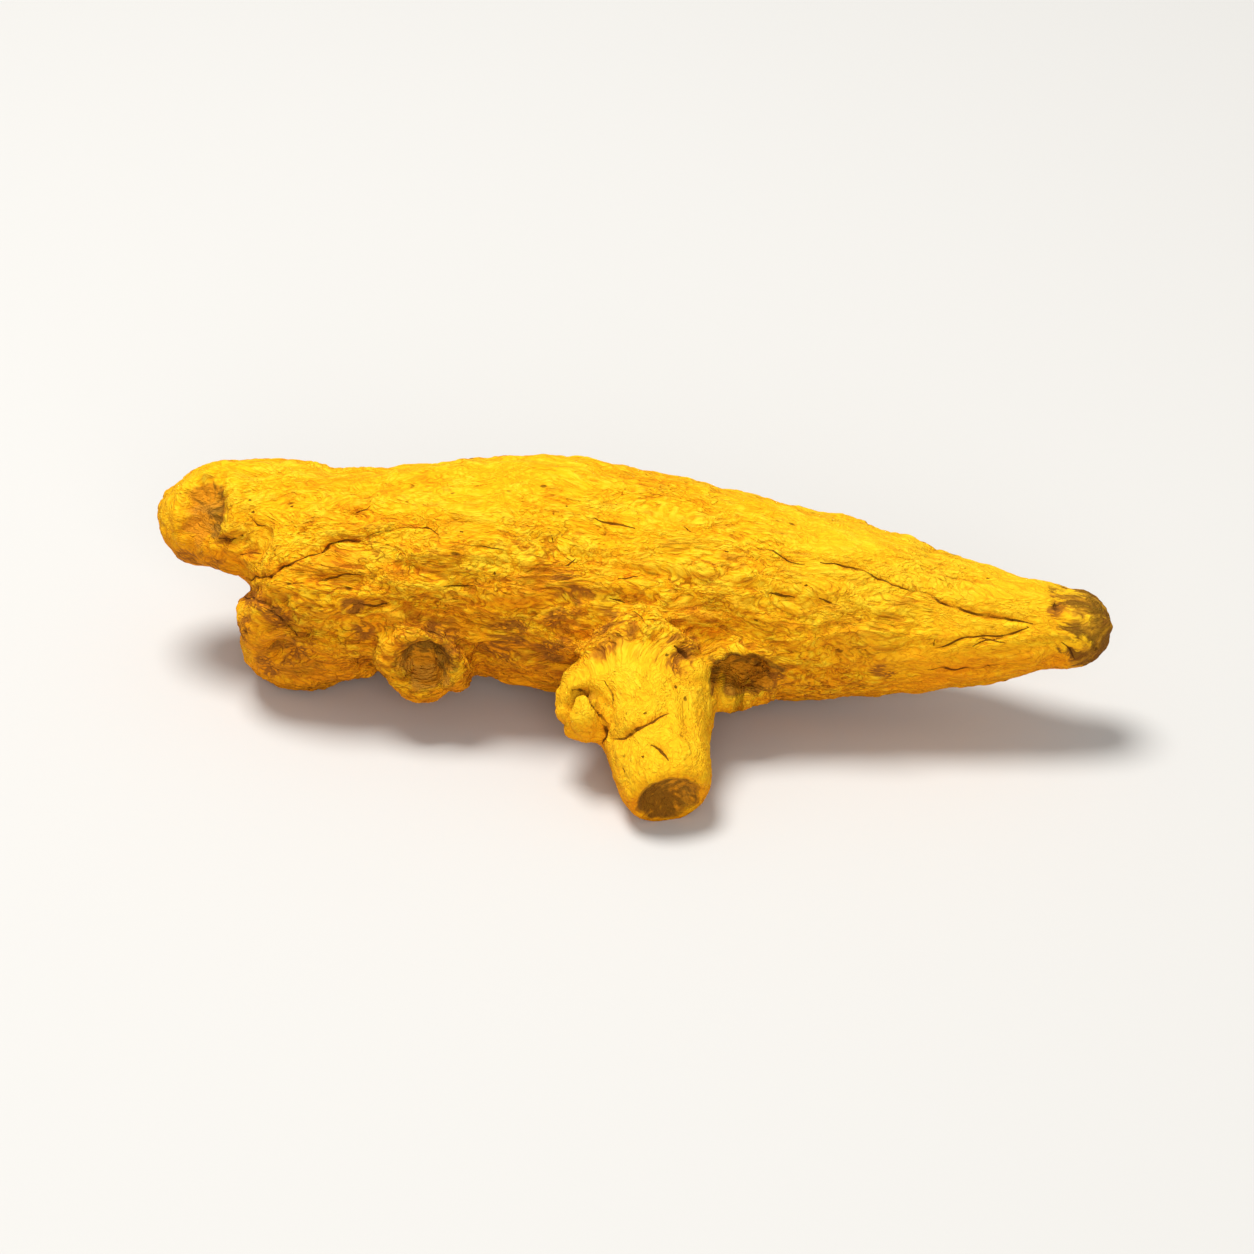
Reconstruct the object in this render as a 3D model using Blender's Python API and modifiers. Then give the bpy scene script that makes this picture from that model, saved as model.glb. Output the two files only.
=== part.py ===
# A dried turmeric finger lying on a flat surface.
# It is first shaped in side view (X along the root towards its tip, -Y near, +Z up),
# then rolled and pitched until it lies on its shoulder, its belly knob and the end of its side shoot.

import math

import bmesh
import bpy
from mathutils import Matrix, Vector, noise

MM = 0.001

# How the root lies, turned from the side view about X and then about Y.
REST_ROLL = math.radians(-32.4)
REST_PITCH = math.radians(2.6)
FLAT_DEPTH = 0.35 * MM  # how much the three resting spots are worn flat
CUT_TOLERANCE = 0.0001 * MM

# Where the root rests, in the side view's millimetres: the skin is plain round these places.
RESTING_SPOTS = [
    Vector((-21.2, 4.2, -9.0)),
    Vector((9.0, 5.7, -6.5)),
    Vector((5.2, -7.8, -15.2)),
]
PLAIN_FROM = 1.5
PLAIN_TO = 4.0

# Mesh size of the finished skin.
CELL = 0.8 * MM
SMOOTH_PASSES = 3
SMOOTH_FACTOR = 0.5

# Swellings of the root, each a row of stations: x, y, z and radius in millimetres.
BODY = [
    (-24.8, 0.9, -2.8, 2.6),
    (-24.2, 0.9, -2.9, 5.3),
    (-22.3, 0.9, -3.2, 7.0),
    (-19.8, 0.6, -2.3, 7.2),
    (-16.5, 0.2, -1.3, 6.9),
    (-12.0, 0.0, -0.8, 7.2),
    (-7.0, 0.1, -0.5, 7.5),
    (-2.0, 0.3, -0.45, 7.4),
    (3.0, 0.4, -0.4, 7.35),
    (8.0, 0.2, -0.5, 6.85),
    (13.0, -0.1, -0.7, 6.0),
    (18.0, -0.5, -0.75, 5.0),
    (22.5, -0.9, -0.65, 4.25),
    (26.0, -1.2, -0.5, 3.45),
    (28.5, -1.3, -0.35, 2.7),
    (30.3, -1.2, -0.25, 2.35),
    (31.4, -1.1, -0.3, 1.7),
    (31.8, -1.0, -0.35, 0.5),
]
NECK = [
    (-31.2, 1.5, -0.5, 1.3),
    (-30.7, 1.4, -0.3, 2.5),
    (-29.3, 1.1, 0.1, 3.1),
    (-27.3, 0.7, 0.9, 3.8),
    (-25.0, 0.4, 1.0, 4.2),
    (-21.5, 0.1, 0.4, 4.9),
]
SHOOT = [
    (1.6, -2.2, -3.2, 4.7),
    (2.2, -3.8, -5.2, 4.5),
    (2.9, -5.3, -7.3, 4.2),
    (3.4, -6.7, -9.2, 3.9),
    (3.8, -7.9, -10.7, 3.5),
    (4.4, -9.1, -12.2, 3.5),
    (5.1, -10.2, -13.6, 3.2),
    (5.3, -10.5, -14.0, 2.6),
]
BUD = [
    (0.6, -5.6, -6.2, 1.6),
    (-0.6, -6.5, -7.4, 2.3),
    (-1.0, -7.3, -8.9, 2.25),
    (-0.5, -7.8, -10.4, 1.6),
    (-0.1, -8.0, -11.1, 0.6),
]
ROOT_KNOB = [
    (-12.4, -1.5, -4.6, 3.5),
    (-12.4, -3.2, -6.0, 3.1),
    (-12.4, -4.6, -6.9, 2.8),
    (-12.4, -5.3, -7.3, 2.4),
]
STUMP = [
    (7.9, -2.2, -3.5, 3.3),
    (8.2, -3.8, -5.0, 2.8),
    (8.4, -4.8, -5.9, 2.4),
]
STUMP_LIP = [
    (6.2, -3.6, -6.9, 0.8),
    (7.2, -3.9, -7.3, 1.05),
    (8.9, -3.9, -7.2, 1.0),
    (10.4, -3.6, -6.5, 0.7),
]
BELLY_KNOB = [
    (8.6, 2.2, -2.0, 4.7),
    (8.7, 4.3, -3.2, 3.8),
    (8.8, 6.0, -4.2, 3.0),
    (8.8, 6.8, -4.7, 2.2),
]
BACK_KNOB = [
    (-6.5, 3.2, 2.0, 4.2),
    (-6.4, 5.6, 3.2, 3.1),
    (-6.3, 6.9, 3.8, 2.4),
    (-6.3, 7.3, 4.0, 1.9),
]
LIMBS = {
    "body": BODY,
    "neck": NECK,
    "shoot": SHOOT,
    "bud": BUD,
    "root_knob": ROOT_KNOB,
    "stump": STUMP,
    "stump_lip": STUMP_LIP,
    "belly_knob": BELLY_KNOB,
    "back_knob": BACK_KNOB,
}
LIMB_SIDES_QUARTER = 7  # bevel resolution: sides in each quarter of a limb's round
LIMB_STEPS = 6  # steps from one station to the next
LIMB_ORDER = 3
WELD_DISTANCE = 0.001 * MM

# Scars where roots, buds and the mother rhizome broke off: centre, the way it faces,
# radius of the hollow, its depth and the height of its rim.
SCARS = [
    {"at": (-29.1, -1.2, 0.8), "faces": (-0.75, -0.65, 0.1), "radius": 2.1, "depth": 0.4, "rim": 0.2},
    {"at": (5.2, -10.5, -13.9), "faces": (0.22, -0.6, -0.77), "radius": 2.1, "depth": 0.6, "rim": 0.2},
    {"at": (-12.4, -5.3, -7.2), "faces": (0.0, -0.85, -0.52), "radius": 1.9, "depth": 0.8, "rim": 0.3},
    {"at": (8.5, -5.1, -5.6), "faces": (0.1, -0.85, -0.52), "radius": 1.8, "depth": 1.4, "rim": 0.25},
    {"at": (-6.3, 7.4, 4.0), "faces": (0.05, 0.88, 0.47), "radius": 1.5, "depth": 0.6, "rim": 0.25},
    {"at": (-21.8, -3.9, -7.7), "faces": (-0.1, -0.7, -0.7), "radius": 1.3, "depth": 0.5, "rim": 0.2},
]

SCAR_REACH = 2.5  # how far above and below a scar's centre it still shapes the skin
# The rest is in shares of the hollow's radius.
HOLLOW_FLOOR = 0.25
HOLLOW_EDGE = 0.95
RIM_CREST = 1.15
RIM_WIDTH = 0.3
SMOOTH_WITHIN = 0.7
WRINKLED_FROM = 1.6

# Node rings where leaf sheaths grew: x of the ring, its lean and its depth in millimetres.
RINGS = [
    {"x": -17.5, "lean": 0.12, "depth": 0.16},
    {"x": -9.0, "lean": -0.10, "depth": 0.12},
    {"x": 11.0, "lean": 0.15, "depth": 0.12},
    {"x": 19.5, "lean": 0.18, "depth": 0.14},
    {"x": 24.6, "lean": 0.12, "depth": 0.07},
    {"x": 28.6, "lean": 0.05, "depth": 0.15},
]
RING_WIDTH = 0.8
RING_WANDER = 0.6
RING_WANDER_SIZE = 4.0

# Broad lumps and lengthwise wrinkles of the dried skin, in millimetres.
LUMP_SIZE = 9.0
LUMP_HEIGHT = 0.5
LUMP_SHIFT = Vector((3.1, 0.7, 5.2))
WRINKLE_WIDTH = 2.1
WRINKLE_LENGTH = 7.5
WRINKLE_HEIGHT = 0.85
WRINKLE_MIDDLE = 0.3  # mean height of the folds, taken off so that they leave the root its size
FINE_SHARE = 0.45
FINE_TIMES = 2.0
FINE_SHIFT = Vector((7.3, 1.9, 4.4))
SHOOT_WRINKLE_SHARE = 0.45

# The axes of the body and of the side shoot, along which their wrinkles run.
BODY_AXIS = Vector((1.0, 0.0, 0.0))
SHOOT_FOOT = Vector(SHOOT[0][:3])
SHOOT_AXIS = (Vector(SHOOT[-2][:3]) - SHOOT_FOOT).normalized()
SHOOT_LEAVES_BODY = 3.5  # distance along the axis where the skin turns from body to shoot
SHOOT_BLEND = 2.5
SHOOT_REACH = 6.0
SHOOT_EDGE = 5.0

ROOT_COLOUR = (0.78, 0.40, 0.02, 1.0)
ROOT_ROUGHNESS = 0.75


def clear_scene():
    for item in list(bpy.data.objects):
        bpy.data.objects.remove(item, do_unlink=True)


def smooth_step(low, high, value):
    share = min(max((value - low) / (high - low), 0.0), 1.0)
    return share * share * (3.0 - 2.0 * share)


def limb_mesh(name, stations):
    """A limb as a bevelled curve through its stations, turned into a closed mesh."""
    curve = bpy.data.curves.new(name, "CURVE")
    curve.dimensions = "3D"
    curve.bevel_depth = MM
    curve.bevel_resolution = LIMB_SIDES_QUARTER
    curve.use_fill_caps = True
    curve.resolution_u = LIMB_STEPS
    spline = curve.splines.new("NURBS")
    spline.points.add(len(stations) - 1)
    for point, (x, y, z, radius) in zip(spline.points, stations):
        point.co = (x * MM, y * MM, z * MM, 1.0)
        point.radius = radius
    spline.order_u = LIMB_ORDER
    spline.use_endpoint_u = True
    holder = bpy.data.objects.new(name, curve)
    bpy.context.scene.collection.objects.link(holder)
    graph = bpy.context.evaluated_depsgraph_get()
    mesh = bpy.data.meshes.new_from_object(holder.evaluated_get(graph))
    bpy.data.objects.remove(holder)
    welded = bmesh.new()
    welded.from_mesh(mesh)
    bmesh.ops.remove_doubles(welded, verts=welded.verts, dist=WELD_DISTANCE)
    bmesh.ops.recalc_face_normals(welded, faces=welded.faces)
    welded.to_mesh(mesh)
    welded.free()
    return mesh


def gathered_limbs():
    """All the limbs in one mesh, still passing through each other."""
    gathered = bmesh.new()
    for name, stations in LIMBS.items():
        mesh = limb_mesh(name, stations)
        gathered.from_mesh(mesh)
        bpy.data.meshes.remove(mesh)
    mesh = bpy.data.meshes.new("turmeric_root")
    gathered.to_mesh(mesh)
    gathered.free()
    return mesh


def grown_together(obj):
    """Fuses the limbs into one even skin and eases the creases between them."""
    remesh = obj.modifiers.new("grow together", "REMESH")
    remesh.mode = "VOXEL"
    remesh.voxel_size = CELL
    ease = obj.modifiers.new("ease creases", "SMOOTH")
    ease.factor = SMOOTH_FACTOR
    ease.iterations = SMOOTH_PASSES
    graph = bpy.context.evaluated_depsgraph_get()
    mesh = bpy.data.meshes.new_from_object(obj.evaluated_get(graph))
    obj.modifiers.clear()
    rough = obj.data
    obj.data = mesh
    bpy.data.meshes.remove(rough)


def shoot_share(place):
    """1 on the side shoot, 0 on the body, for a place in millimetres."""
    from_foot = place - SHOOT_FOOT
    along = from_foot.dot(SHOOT_AXIS)
    aside = (from_foot - along * SHOOT_AXIS).length
    grown = smooth_step(SHOOT_LEAVES_BODY, SHOOT_LEAVES_BODY + SHOOT_BLEND, along)
    return grown * (1.0 - smooth_step(SHOOT_EDGE, SHOOT_REACH, aside))


def grain(place, axis):
    """A place squeezed along the axis, so that noise on it is drawn out along that axis."""
    along = place.dot(axis)
    shrink = WRINKLE_WIDTH / WRINKLE_LENGTH
    return (place - along * (1.0 - shrink) * axis) / WRINKLE_WIDTH


def wrinkles(place, axis):
    """Rounded ridges with narrow valleys between them, about 0 on average."""
    first = abs(noise.noise(grain(place, axis)))
    second = abs(noise.noise(grain(place, axis) * FINE_TIMES + FINE_SHIFT))
    return first + FINE_SHARE * second - WRINKLE_MIDDLE


def ring_depth(place):
    """The shallow grooves of the node rings."""
    depth = 0.0
    for ring in RINGS:
        spot = Vector((ring["x"], place.y / RING_WANDER_SIZE, place.z / RING_WANDER_SIZE))
        wander = RING_WANDER * noise.noise(spot)
        off = (place.x - ring["x"] - ring["lean"] * place.z - wander) / RING_WIDTH
        depth += ring["depth"] * math.exp(-off * off)
    return depth


def scar_height(place):
    """Hollows and raised rims of the scars, and how much of the wrinkling they leave."""
    height = 0.0
    wrinkled = 1.0
    for scar in SCARS:
        offset = place - Vector(scar["at"])
        facing = Vector(scar["faces"]).normalized()
        lift = offset.dot(facing)
        if abs(lift) > SCAR_REACH:
            continue
        distance = (offset - lift * facing).length / scar["radius"]
        hollow = 1.0 - smooth_step(HOLLOW_FLOOR, HOLLOW_EDGE, distance)
        rim = math.exp(-(((distance - RIM_CREST) / RIM_WIDTH) ** 2))
        height += scar["rim"] * rim - scar["depth"] * hollow
        wrinkled *= smooth_step(SMOOTH_WITHIN, WRINKLED_FROM, distance)
    return height, wrinkled


def away_from_rest(place):
    """0 at a resting spot, 1 where the skin may wrinkle freely."""
    nearest = min((place - spot).length for spot in RESTING_SPOTS)
    return smooth_step(PLAIN_FROM, PLAIN_TO, nearest)


def relief(place):
    """How far the skin stands out at a place, in millimetres."""
    lump = LUMP_HEIGHT * noise.noise(place / LUMP_SIZE + LUMP_SHIFT)
    on_shoot = shoot_share(place)
    on_body = (1.0 - on_shoot) * wrinkles(place, BODY_AXIS)
    folds = on_body + SHOOT_WRINKLE_SHARE * on_shoot * wrinkles(place, SHOOT_AXIS)
    height, wrinkled = scar_height(place)
    wrinkled *= away_from_rest(place)
    grooves = (1.0 - on_shoot) * ring_depth(place)
    return lump + wrinkled * WRINKLE_HEIGHT * folds - grooves + height


def dry_the_skin(mesh):
    """Moves every point along its normal by the relief."""
    moved = []
    for vertex in mesh.vertices:
        moved.append(vertex.co + vertex.normal * relief(vertex.co / MM) * MM)
    for vertex, place in zip(mesh.vertices, moved):
        vertex.co = place
    mesh.update()


def lay_down(mesh):
    """Turns the root as it lies, wears its lowest spots flat and puts the origin under its middle."""
    mesh.transform(Matrix.Rotation(REST_PITCH, 4, "Y") @ Matrix.Rotation(REST_ROLL, 4, "X"))
    table = min(vertex.co.z for vertex in mesh.vertices) + FLAT_DEPTH
    worn = bmesh.new()
    worn.from_mesh(mesh)
    bmesh.ops.bisect_plane(
        worn,
        geom=worn.verts[:] + worn.edges[:] + worn.faces[:],
        dist=CUT_TOLERANCE,
        plane_co=(0.0, 0.0, table),
        plane_no=(0.0, 0.0, -1.0),
        clear_outer=True,
    )
    open_edges = [edge for edge in worn.edges if edge.is_boundary]
    bmesh.ops.holes_fill(worn, edges=open_edges, sides=0)
    bmesh.ops.recalc_face_normals(worn, faces=worn.faces)
    worn.to_mesh(mesh)
    worn.free()
    lows = [min(vertex.co[axis] for vertex in mesh.vertices) for axis in range(3)]
    highs = [max(vertex.co[axis] for vertex in mesh.vertices) for axis in range(3)]
    middle = Vector(((lows[0] + highs[0]) / 2, (lows[1] + highs[1]) / 2, table))
    mesh.transform(Matrix.Translation(-middle))


def root_material():
    material = bpy.data.materials.new("dried turmeric skin")
    material.use_nodes = True
    skin = material.node_tree.nodes["Principled BSDF"]
    skin.inputs["Base Color"].default_value = ROOT_COLOUR
    skin.inputs["Roughness"].default_value = ROOT_ROUGHNESS
    skin.inputs["Metallic"].default_value = 0.0
    return material


def make_root():
    collection = bpy.data.collections.new("turmeric root")
    bpy.context.scene.collection.children.link(collection)
    root = bpy.data.objects.new("turmeric_root", gathered_limbs())
    collection.objects.link(root)
    grown_together(root)
    dry_the_skin(root.data)
    lay_down(root.data)
    root.data.shade_smooth()
    root.data.materials.append(root_material())
    return root


clear_scene()
make_root()
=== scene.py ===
# The looks of a dried turmeric finger: its cracked, flaking skin, its scars, and soft light on a pale floor.
import math
import time

import bmesh
import bpy
import numpy as np
from mathutils import Matrix, Vector, bvhtree, kdtree, noise


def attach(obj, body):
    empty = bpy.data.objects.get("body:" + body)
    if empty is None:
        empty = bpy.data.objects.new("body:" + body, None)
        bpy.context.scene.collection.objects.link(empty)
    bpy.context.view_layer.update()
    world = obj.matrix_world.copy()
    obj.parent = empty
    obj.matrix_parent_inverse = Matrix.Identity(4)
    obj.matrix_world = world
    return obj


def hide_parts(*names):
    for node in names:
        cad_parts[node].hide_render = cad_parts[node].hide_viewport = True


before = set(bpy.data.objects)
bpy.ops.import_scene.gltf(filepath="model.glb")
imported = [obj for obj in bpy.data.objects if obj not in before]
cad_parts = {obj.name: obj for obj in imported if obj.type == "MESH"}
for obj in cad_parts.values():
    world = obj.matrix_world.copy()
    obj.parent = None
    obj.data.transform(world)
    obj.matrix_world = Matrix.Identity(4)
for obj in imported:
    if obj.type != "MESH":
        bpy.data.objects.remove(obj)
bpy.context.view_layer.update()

mm = 0.001
farAway = 9.0  # in millimetres, further than any mark reaches
began = time.time()


def report(stage):
    print(f"[{time.time() - began:5.1f} s] {stage}")


# The root is shaped in side view: x along it towards the tip, -y near, +z up, all in millimetres.
rootShape = {
    "cell": 0.2,
    "easePasses": 44,
    "easeFactor": 0.5,
    "limbSides": 12,
    "limbSteps": 10,
    "body": [
        (-24.8, 0.9, -2.8, 2.6), (-24.2, 0.9, -2.9, 5.3), (-22.3, 0.9, -3.2, 7.0),
        (-19.8, 0.6, -2.3, 7.2), (-16.5, 0.2, -1.3, 6.9), (-12.0, 0.0, -0.8, 7.2),
        (-7.0, 0.1, -0.5, 7.5), (-2.0, 0.3, -0.45, 7.4), (3.0, 0.4, -0.4, 7.35),
        (8.0, 0.2, -0.5, 6.85), (13.0, -0.1, -0.7, 6.0), (18.0, -0.5, -0.75, 5.0),
        (22.5, -0.9, -0.65, 4.25), (26.0, -1.2, -0.5, 3.45), (28.5, -1.3, -0.35, 2.7),
        (30.3, -1.2, -0.25, 2.35), (31.4, -1.1, -0.3, 1.7), (31.8, -1.0, -0.35, 0.5),
    ],
    "neck": [
        (-31.2, 1.5, -0.5, 1.3), (-30.7, 1.4, -0.3, 2.5), (-29.3, 1.1, 0.1, 3.1),
        (-27.3, 0.7, 0.9, 3.8), (-25.0, 0.4, 1.0, 4.2), (-21.5, 0.1, 0.4, 4.9),
    ],
    "shoot": [
        (1.6, -2.2, -3.2, 4.7), (2.2, -3.8, -5.2, 4.5), (2.9, -5.3, -7.3, 4.2),
        (3.4, -6.7, -9.2, 3.9), (3.8, -7.9, -10.7, 3.5), (4.4, -9.1, -12.2, 3.5),
        (5.1, -10.2, -13.6, 3.2), (5.3, -10.5, -14.0, 2.6),
    ],
    "bud": [
        (0.6, -5.6, -6.2, 1.6), (-0.6, -6.5, -7.4, 2.3), (-1.0, -7.3, -8.9, 2.25),
        (-0.5, -7.8, -10.4, 1.6), (-0.1, -8.0, -11.1, 0.6),
    ],
    "rootKnob": [
        (-12.4, -1.5, -4.6, 3.5), (-12.4, -3.2, -6.0, 3.1), (-12.4, -4.6, -6.9, 2.8),
        (-12.4, -5.3, -7.3, 2.4),
    ],
    "stump": [
        (7.9, -2.2, -3.5, 3.3), (8.2, -3.8, -5.0, 2.8), (8.4, -4.8, -5.9, 2.4),
    ],
    "stumpLip": [
        (6.2, -3.6, -6.9, 0.8), (7.2, -3.9, -7.3, 1.05), (8.9, -3.9, -7.2, 1.0),
        (10.4, -3.6, -6.5, 0.7),
    ],
    "bellyKnob": [
        (8.6, 2.2, -2.0, 4.7), (8.7, 4.3, -3.2, 3.8), (8.8, 6.0, -4.2, 3.0),
        (8.8, 6.8, -4.7, 2.2),
    ],
    "backKnob": [
        (-6.5, 3.2, 2.0, 4.2), (-6.4, 5.6, 3.2, 3.1), (-6.3, 6.9, 3.8, 2.4),
        (-6.3, 7.3, 4.0, 1.9),
    ],
}
limbNames = ["body", "neck", "shoot", "bud", "rootKnob", "stump", "stumpLip", "bellyKnob", "backKnob"]

# How the root lies: turned about x, then about y, then moved so that its origin is under its middle.
lie = {
    "roll": math.radians(-32.4),
    "pitch": math.radians(2.6),
    "middle": (0.0651, -4.2630, -8.5817),
    "spots": [(-21.2, 4.2, -9.0), (9.0, 5.7, -6.5), (5.2, -7.8, -15.2)],
    "plainFrom": 1.5,
    "plainTo": 4.0,
}

# Scars where roots, buds and the mother rhizome broke off. They are paler towards paleTo: left and up; on the
# knob and the shoot's end the darker side is painted shade.
scars = {
    "neckEnd": {
        "at": (-27.9, -2.3, 1.0), "faces": (-0.52, -0.84, 0.14), "radius": 2.15, "wide": 0.9, "tall": 1.15,
        "depth": 0.6, "rim": 0.3, "fibres": 0.3, "stain": 1.0, "pale": 0.65, "soft": 0.35, "ragged": 0.4,
        "paleTo": (0.45, -0.2), "fade": 0.2,
    },
    "shootEnd": {
        "at": (5.2, -10.5, -13.9), "faces": (0.22, -0.6, -0.77), "radius": 2.1, "wide": 1.0, "tall": 1.0,
        "depth": 0.6, "rim": 0.2, "fibres": 0.0, "stain": 1.0, "pale": 0.2, "soft": 0.15, "ragged": 0.16,
        "paleTo": (-0.3, 0.2), "fade": 0.0,
    },
    "knob": {
        "at": (-12.0, -5.4, -7.2), "faces": (0.04, -0.85, -0.52), "radius": 1.95, "wide": 1.1, "tall": 0.95,
        "depth": 1.35, "rim": 0.35, "fibres": 0.14, "stain": 0.95, "pale": 0.45, "soft": 0.3, "ragged": 0.4,
        "paleTo": (0.1, -0.8), "fade": 0.0,
    },
    "stump": {
        "at": (8.6, -5.0, -5.2), "faces": (0.1, -0.85, -0.52), "radius": 1.7, "wide": 1.4, "tall": 0.85,
        "depth": 1.6, "rim": 0.2, "fibres": 0.18, "stain": 0.95, "pale": 0.45, "soft": 0.12, "ragged": 0.5,
        "paleTo": (0.0, -0.3), "fade": 0.0,
    },
    "back": {
        "at": (-6.3, 7.4, 4.0), "faces": (0.05, 0.88, 0.47), "radius": 1.5, "wide": 1.0, "tall": 1.0,
        "depth": 0.6, "rim": 0.25, "fibres": 0.0, "stain": 0.9, "pale": 0.4, "soft": 0.3, "ragged": 0.3,
        "paleTo": (0.2, -0.3), "fade": 0.0,
    },
    "shoulder": {
        "at": (-21.8, -3.9, -7.7), "faces": (-0.1, -0.7, -0.7), "radius": 1.3, "wide": 1.0, "tall": 1.0,
        "depth": 0.5, "rim": 0.2, "fibres": 0.0, "stain": 0.3, "pale": 0.3, "soft": 0.4, "ragged": 0.4,
        "paleTo": (0.0, 0.0), "fade": 0.0,
    },
}
# The hollow and the raised rim of a scar, in shares of its radius, and how far from its plane they reach.
scarShape = {
    "reach": 2.5,
    "floor": 0.5,
    "edge": 0.95,
    "crest": 1.15,
    "rimWidth": 0.3,
    "smoothWithin": 0.7,
    "wrinkledFrom": 1.6,
    "ragged": 0.5,
    "raggedSize": 1.2,
    "raggedShift": (2.2, 6.1, 9.4),
}

# Faint growth rings round the body, each at its x and leaning along it.
rings = {
    "places": [
        {"x": -17.5, "lean": 0.12, "depth": 0.16},
        {"x": -9.0, "lean": -0.10, "depth": 0.12},
        {"x": 11.0, "lean": 0.15, "depth": 0.12},
        {"x": 19.5, "lean": 0.18, "depth": 0.14},
        {"x": 24.6, "lean": 0.12, "depth": 0.07},
        {"x": 28.6, "lean": 0.05, "depth": 0.15},
    ],
    "width": 0.8,
    "wander": 0.6,
    "wanderSize": 4.0,
    "reach": 4.0,
}

# Broad lumps and lengthwise folds of the dried skin.
folds = {
    "lumpSize": 9.0,
    "lumpHeight": 0.5,
    "lumpShift": Vector((3.1, 0.7, 5.2)),
    "width": 2.1,
    "length": 7.5,
    "height": 0.85,
    "middle": 0.3,
    "fineShare": 0.45,
    "fineTimes": 2.0,
    "fineShift": Vector((7.3, 1.9, 4.4)),
    "shootShare": 0.45,
}

# Where the skin is coarse: low on the near side and far side, less towards the tip.
coarseSkin = {
    "floor": 0.1,
    "least": 0.3,
    "low": 0.6,
    "patches": 0.35,
    "patchSize": 6.0,
    "patchShift": (4.4, 2.1, 8.8),
    "lowZ": (4.5, -1.5),
    "fromX": (-27.0, -20.0),
    "toX": (24.0, 12.0),
    "shootSmooth": 0.8,
    "smoothFolds": 0.5,
}

bodyAxis = Vector((1.0, 0.0, 0.0))
shootFoot = Vector(rootShape["shoot"][0][:3])
shootAxis = (Vector(rootShape["shoot"][-2][:3]) - shootFoot).normalized()
shootSkin = {"from": 3.5, "blend": 2.5, "edge": 5.0, "reach": 6.0}


def smoothStep(low, high, value):
    share = np.clip((value - low) / (high - low), 0.0, 1.0)
    return share * share * (3.0 - 2.0 * share)


def placed(name, data):
    holder = bpy.data.objects.new(name, data)
    bpy.context.scene.collection.objects.link(holder)
    return holder


def limbMesh(name, stations):
    curve = bpy.data.curves.new(name, "CURVE")
    curve.dimensions = "3D"
    curve.bevel_depth = mm
    curve.bevel_resolution = rootShape["limbSides"]
    curve.use_fill_caps = True
    curve.resolution_u = rootShape["limbSteps"]
    spline = curve.splines.new("NURBS")
    spline.points.add(len(stations) - 1)
    for point, (x, y, z, radius) in zip(spline.points, stations):
        point.co = (x * mm, y * mm, z * mm, 1.0)
        point.radius = radius
    spline.order_u = 3
    spline.use_endpoint_u = True
    holder = placed(name, curve)
    graph = bpy.context.evaluated_depsgraph_get()
    mesh = bpy.data.meshes.new_from_object(holder.evaluated_get(graph))
    bpy.data.objects.remove(holder)
    welded = bmesh.new()
    welded.from_mesh(mesh)
    bmesh.ops.remove_doubles(welded, verts=welded.verts, dist=0.001 * mm)
    bmesh.ops.recalc_face_normals(welded, faces=welded.faces)
    welded.to_mesh(mesh)
    welded.free()
    return mesh


def grownRoot():
    # all the limbs in one mesh, fused into one fine skin
    gathered = bmesh.new()
    for name in limbNames:
        mesh = limbMesh(name, rootShape[name])
        gathered.from_mesh(mesh)
        bpy.data.meshes.remove(mesh)
    mesh = bpy.data.meshes.new("dried root")
    gathered.to_mesh(mesh)
    gathered.free()
    root = placed("dried_root", mesh)
    remesh = root.modifiers.new("grow together", "REMESH")
    remesh.mode = "VOXEL"
    remesh.voxel_size = rootShape["cell"] * mm
    ease = root.modifiers.new("ease creases", "SMOOTH")
    ease.factor = rootShape["easeFactor"]
    ease.iterations = rootShape["easePasses"]
    settle(root)
    return root


def settle(piece):
    # turns what the modifiers make into the piece's own mesh
    graph = bpy.context.evaluated_depsgraph_get()
    made = bpy.data.meshes.new_from_object(piece.evaluated_get(graph))
    piece.modifiers.clear()
    rough = piece.data
    piece.data = made
    bpy.data.meshes.remove(rough)


def pointsOf(mesh):
    flat = np.empty(len(mesh.vertices) * 3)
    mesh.vertices.foreach_get("co", flat)
    return flat.reshape(-1, 3)


def normalsOf(mesh):
    flat = np.empty(len(mesh.vertices) * 3, dtype=np.float32)
    mesh.vertex_normals.foreach_get("vector", flat)
    return flat.reshape(-1, 3).astype(float)


def movePoints(mesh, points):
    mesh.vertices.foreach_set("co", points.ravel())
    mesh.update()


def keep(mesh, fields):
    # keeps numbers or vectors of each point under their names
    for name, values in fields.items():
        kind, part = ("FLOAT", "value") if values.ndim == 1 else ("FLOAT_VECTOR", "vector")
        layer = mesh.attributes.new(name, kind, "POINT")
        layer.data.foreach_set(part, values.astype(np.float32).ravel())


def noiseAt(places, size, shift=(0.0, 0.0, 0.0)):
    # smooth noise of about -1 to 1 at each place, with lumps of the given size
    return np.array([noise.noise(Vector(place)) for place in places / size + np.array(shift)])


def shootShareAt(places):
    # 1 on the side shoot, 0 on the body
    fromFoot = places - np.array(shootFoot)
    along = fromFoot @ np.array(shootAxis)
    aside = np.linalg.norm(fromFoot - np.outer(along, np.array(shootAxis)), axis=1)
    grown = smoothStep(shootSkin["from"], shootSkin["from"] + shootSkin["blend"], along)
    return grown * (1.0 - smoothStep(shootSkin["edge"], shootSkin["reach"], aside))


def squeezed(places, axis, times):
    # places squeezed along the axis, so that noise on them is drawn out along it
    along = places @ np.array(axis)
    return places - np.outer(along * (1.0 - times), np.array(axis))


def foldsAt(places, axis):
    drawn = squeezed(places, axis, folds["width"] / folds["length"]) / folds["width"]
    first = np.abs(noiseAt(drawn, 1.0))
    second = np.abs(noiseAt(drawn * folds["fineTimes"], 1.0, folds["fineShift"]))
    return first + folds["fineShare"] * second - folds["middle"]


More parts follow.
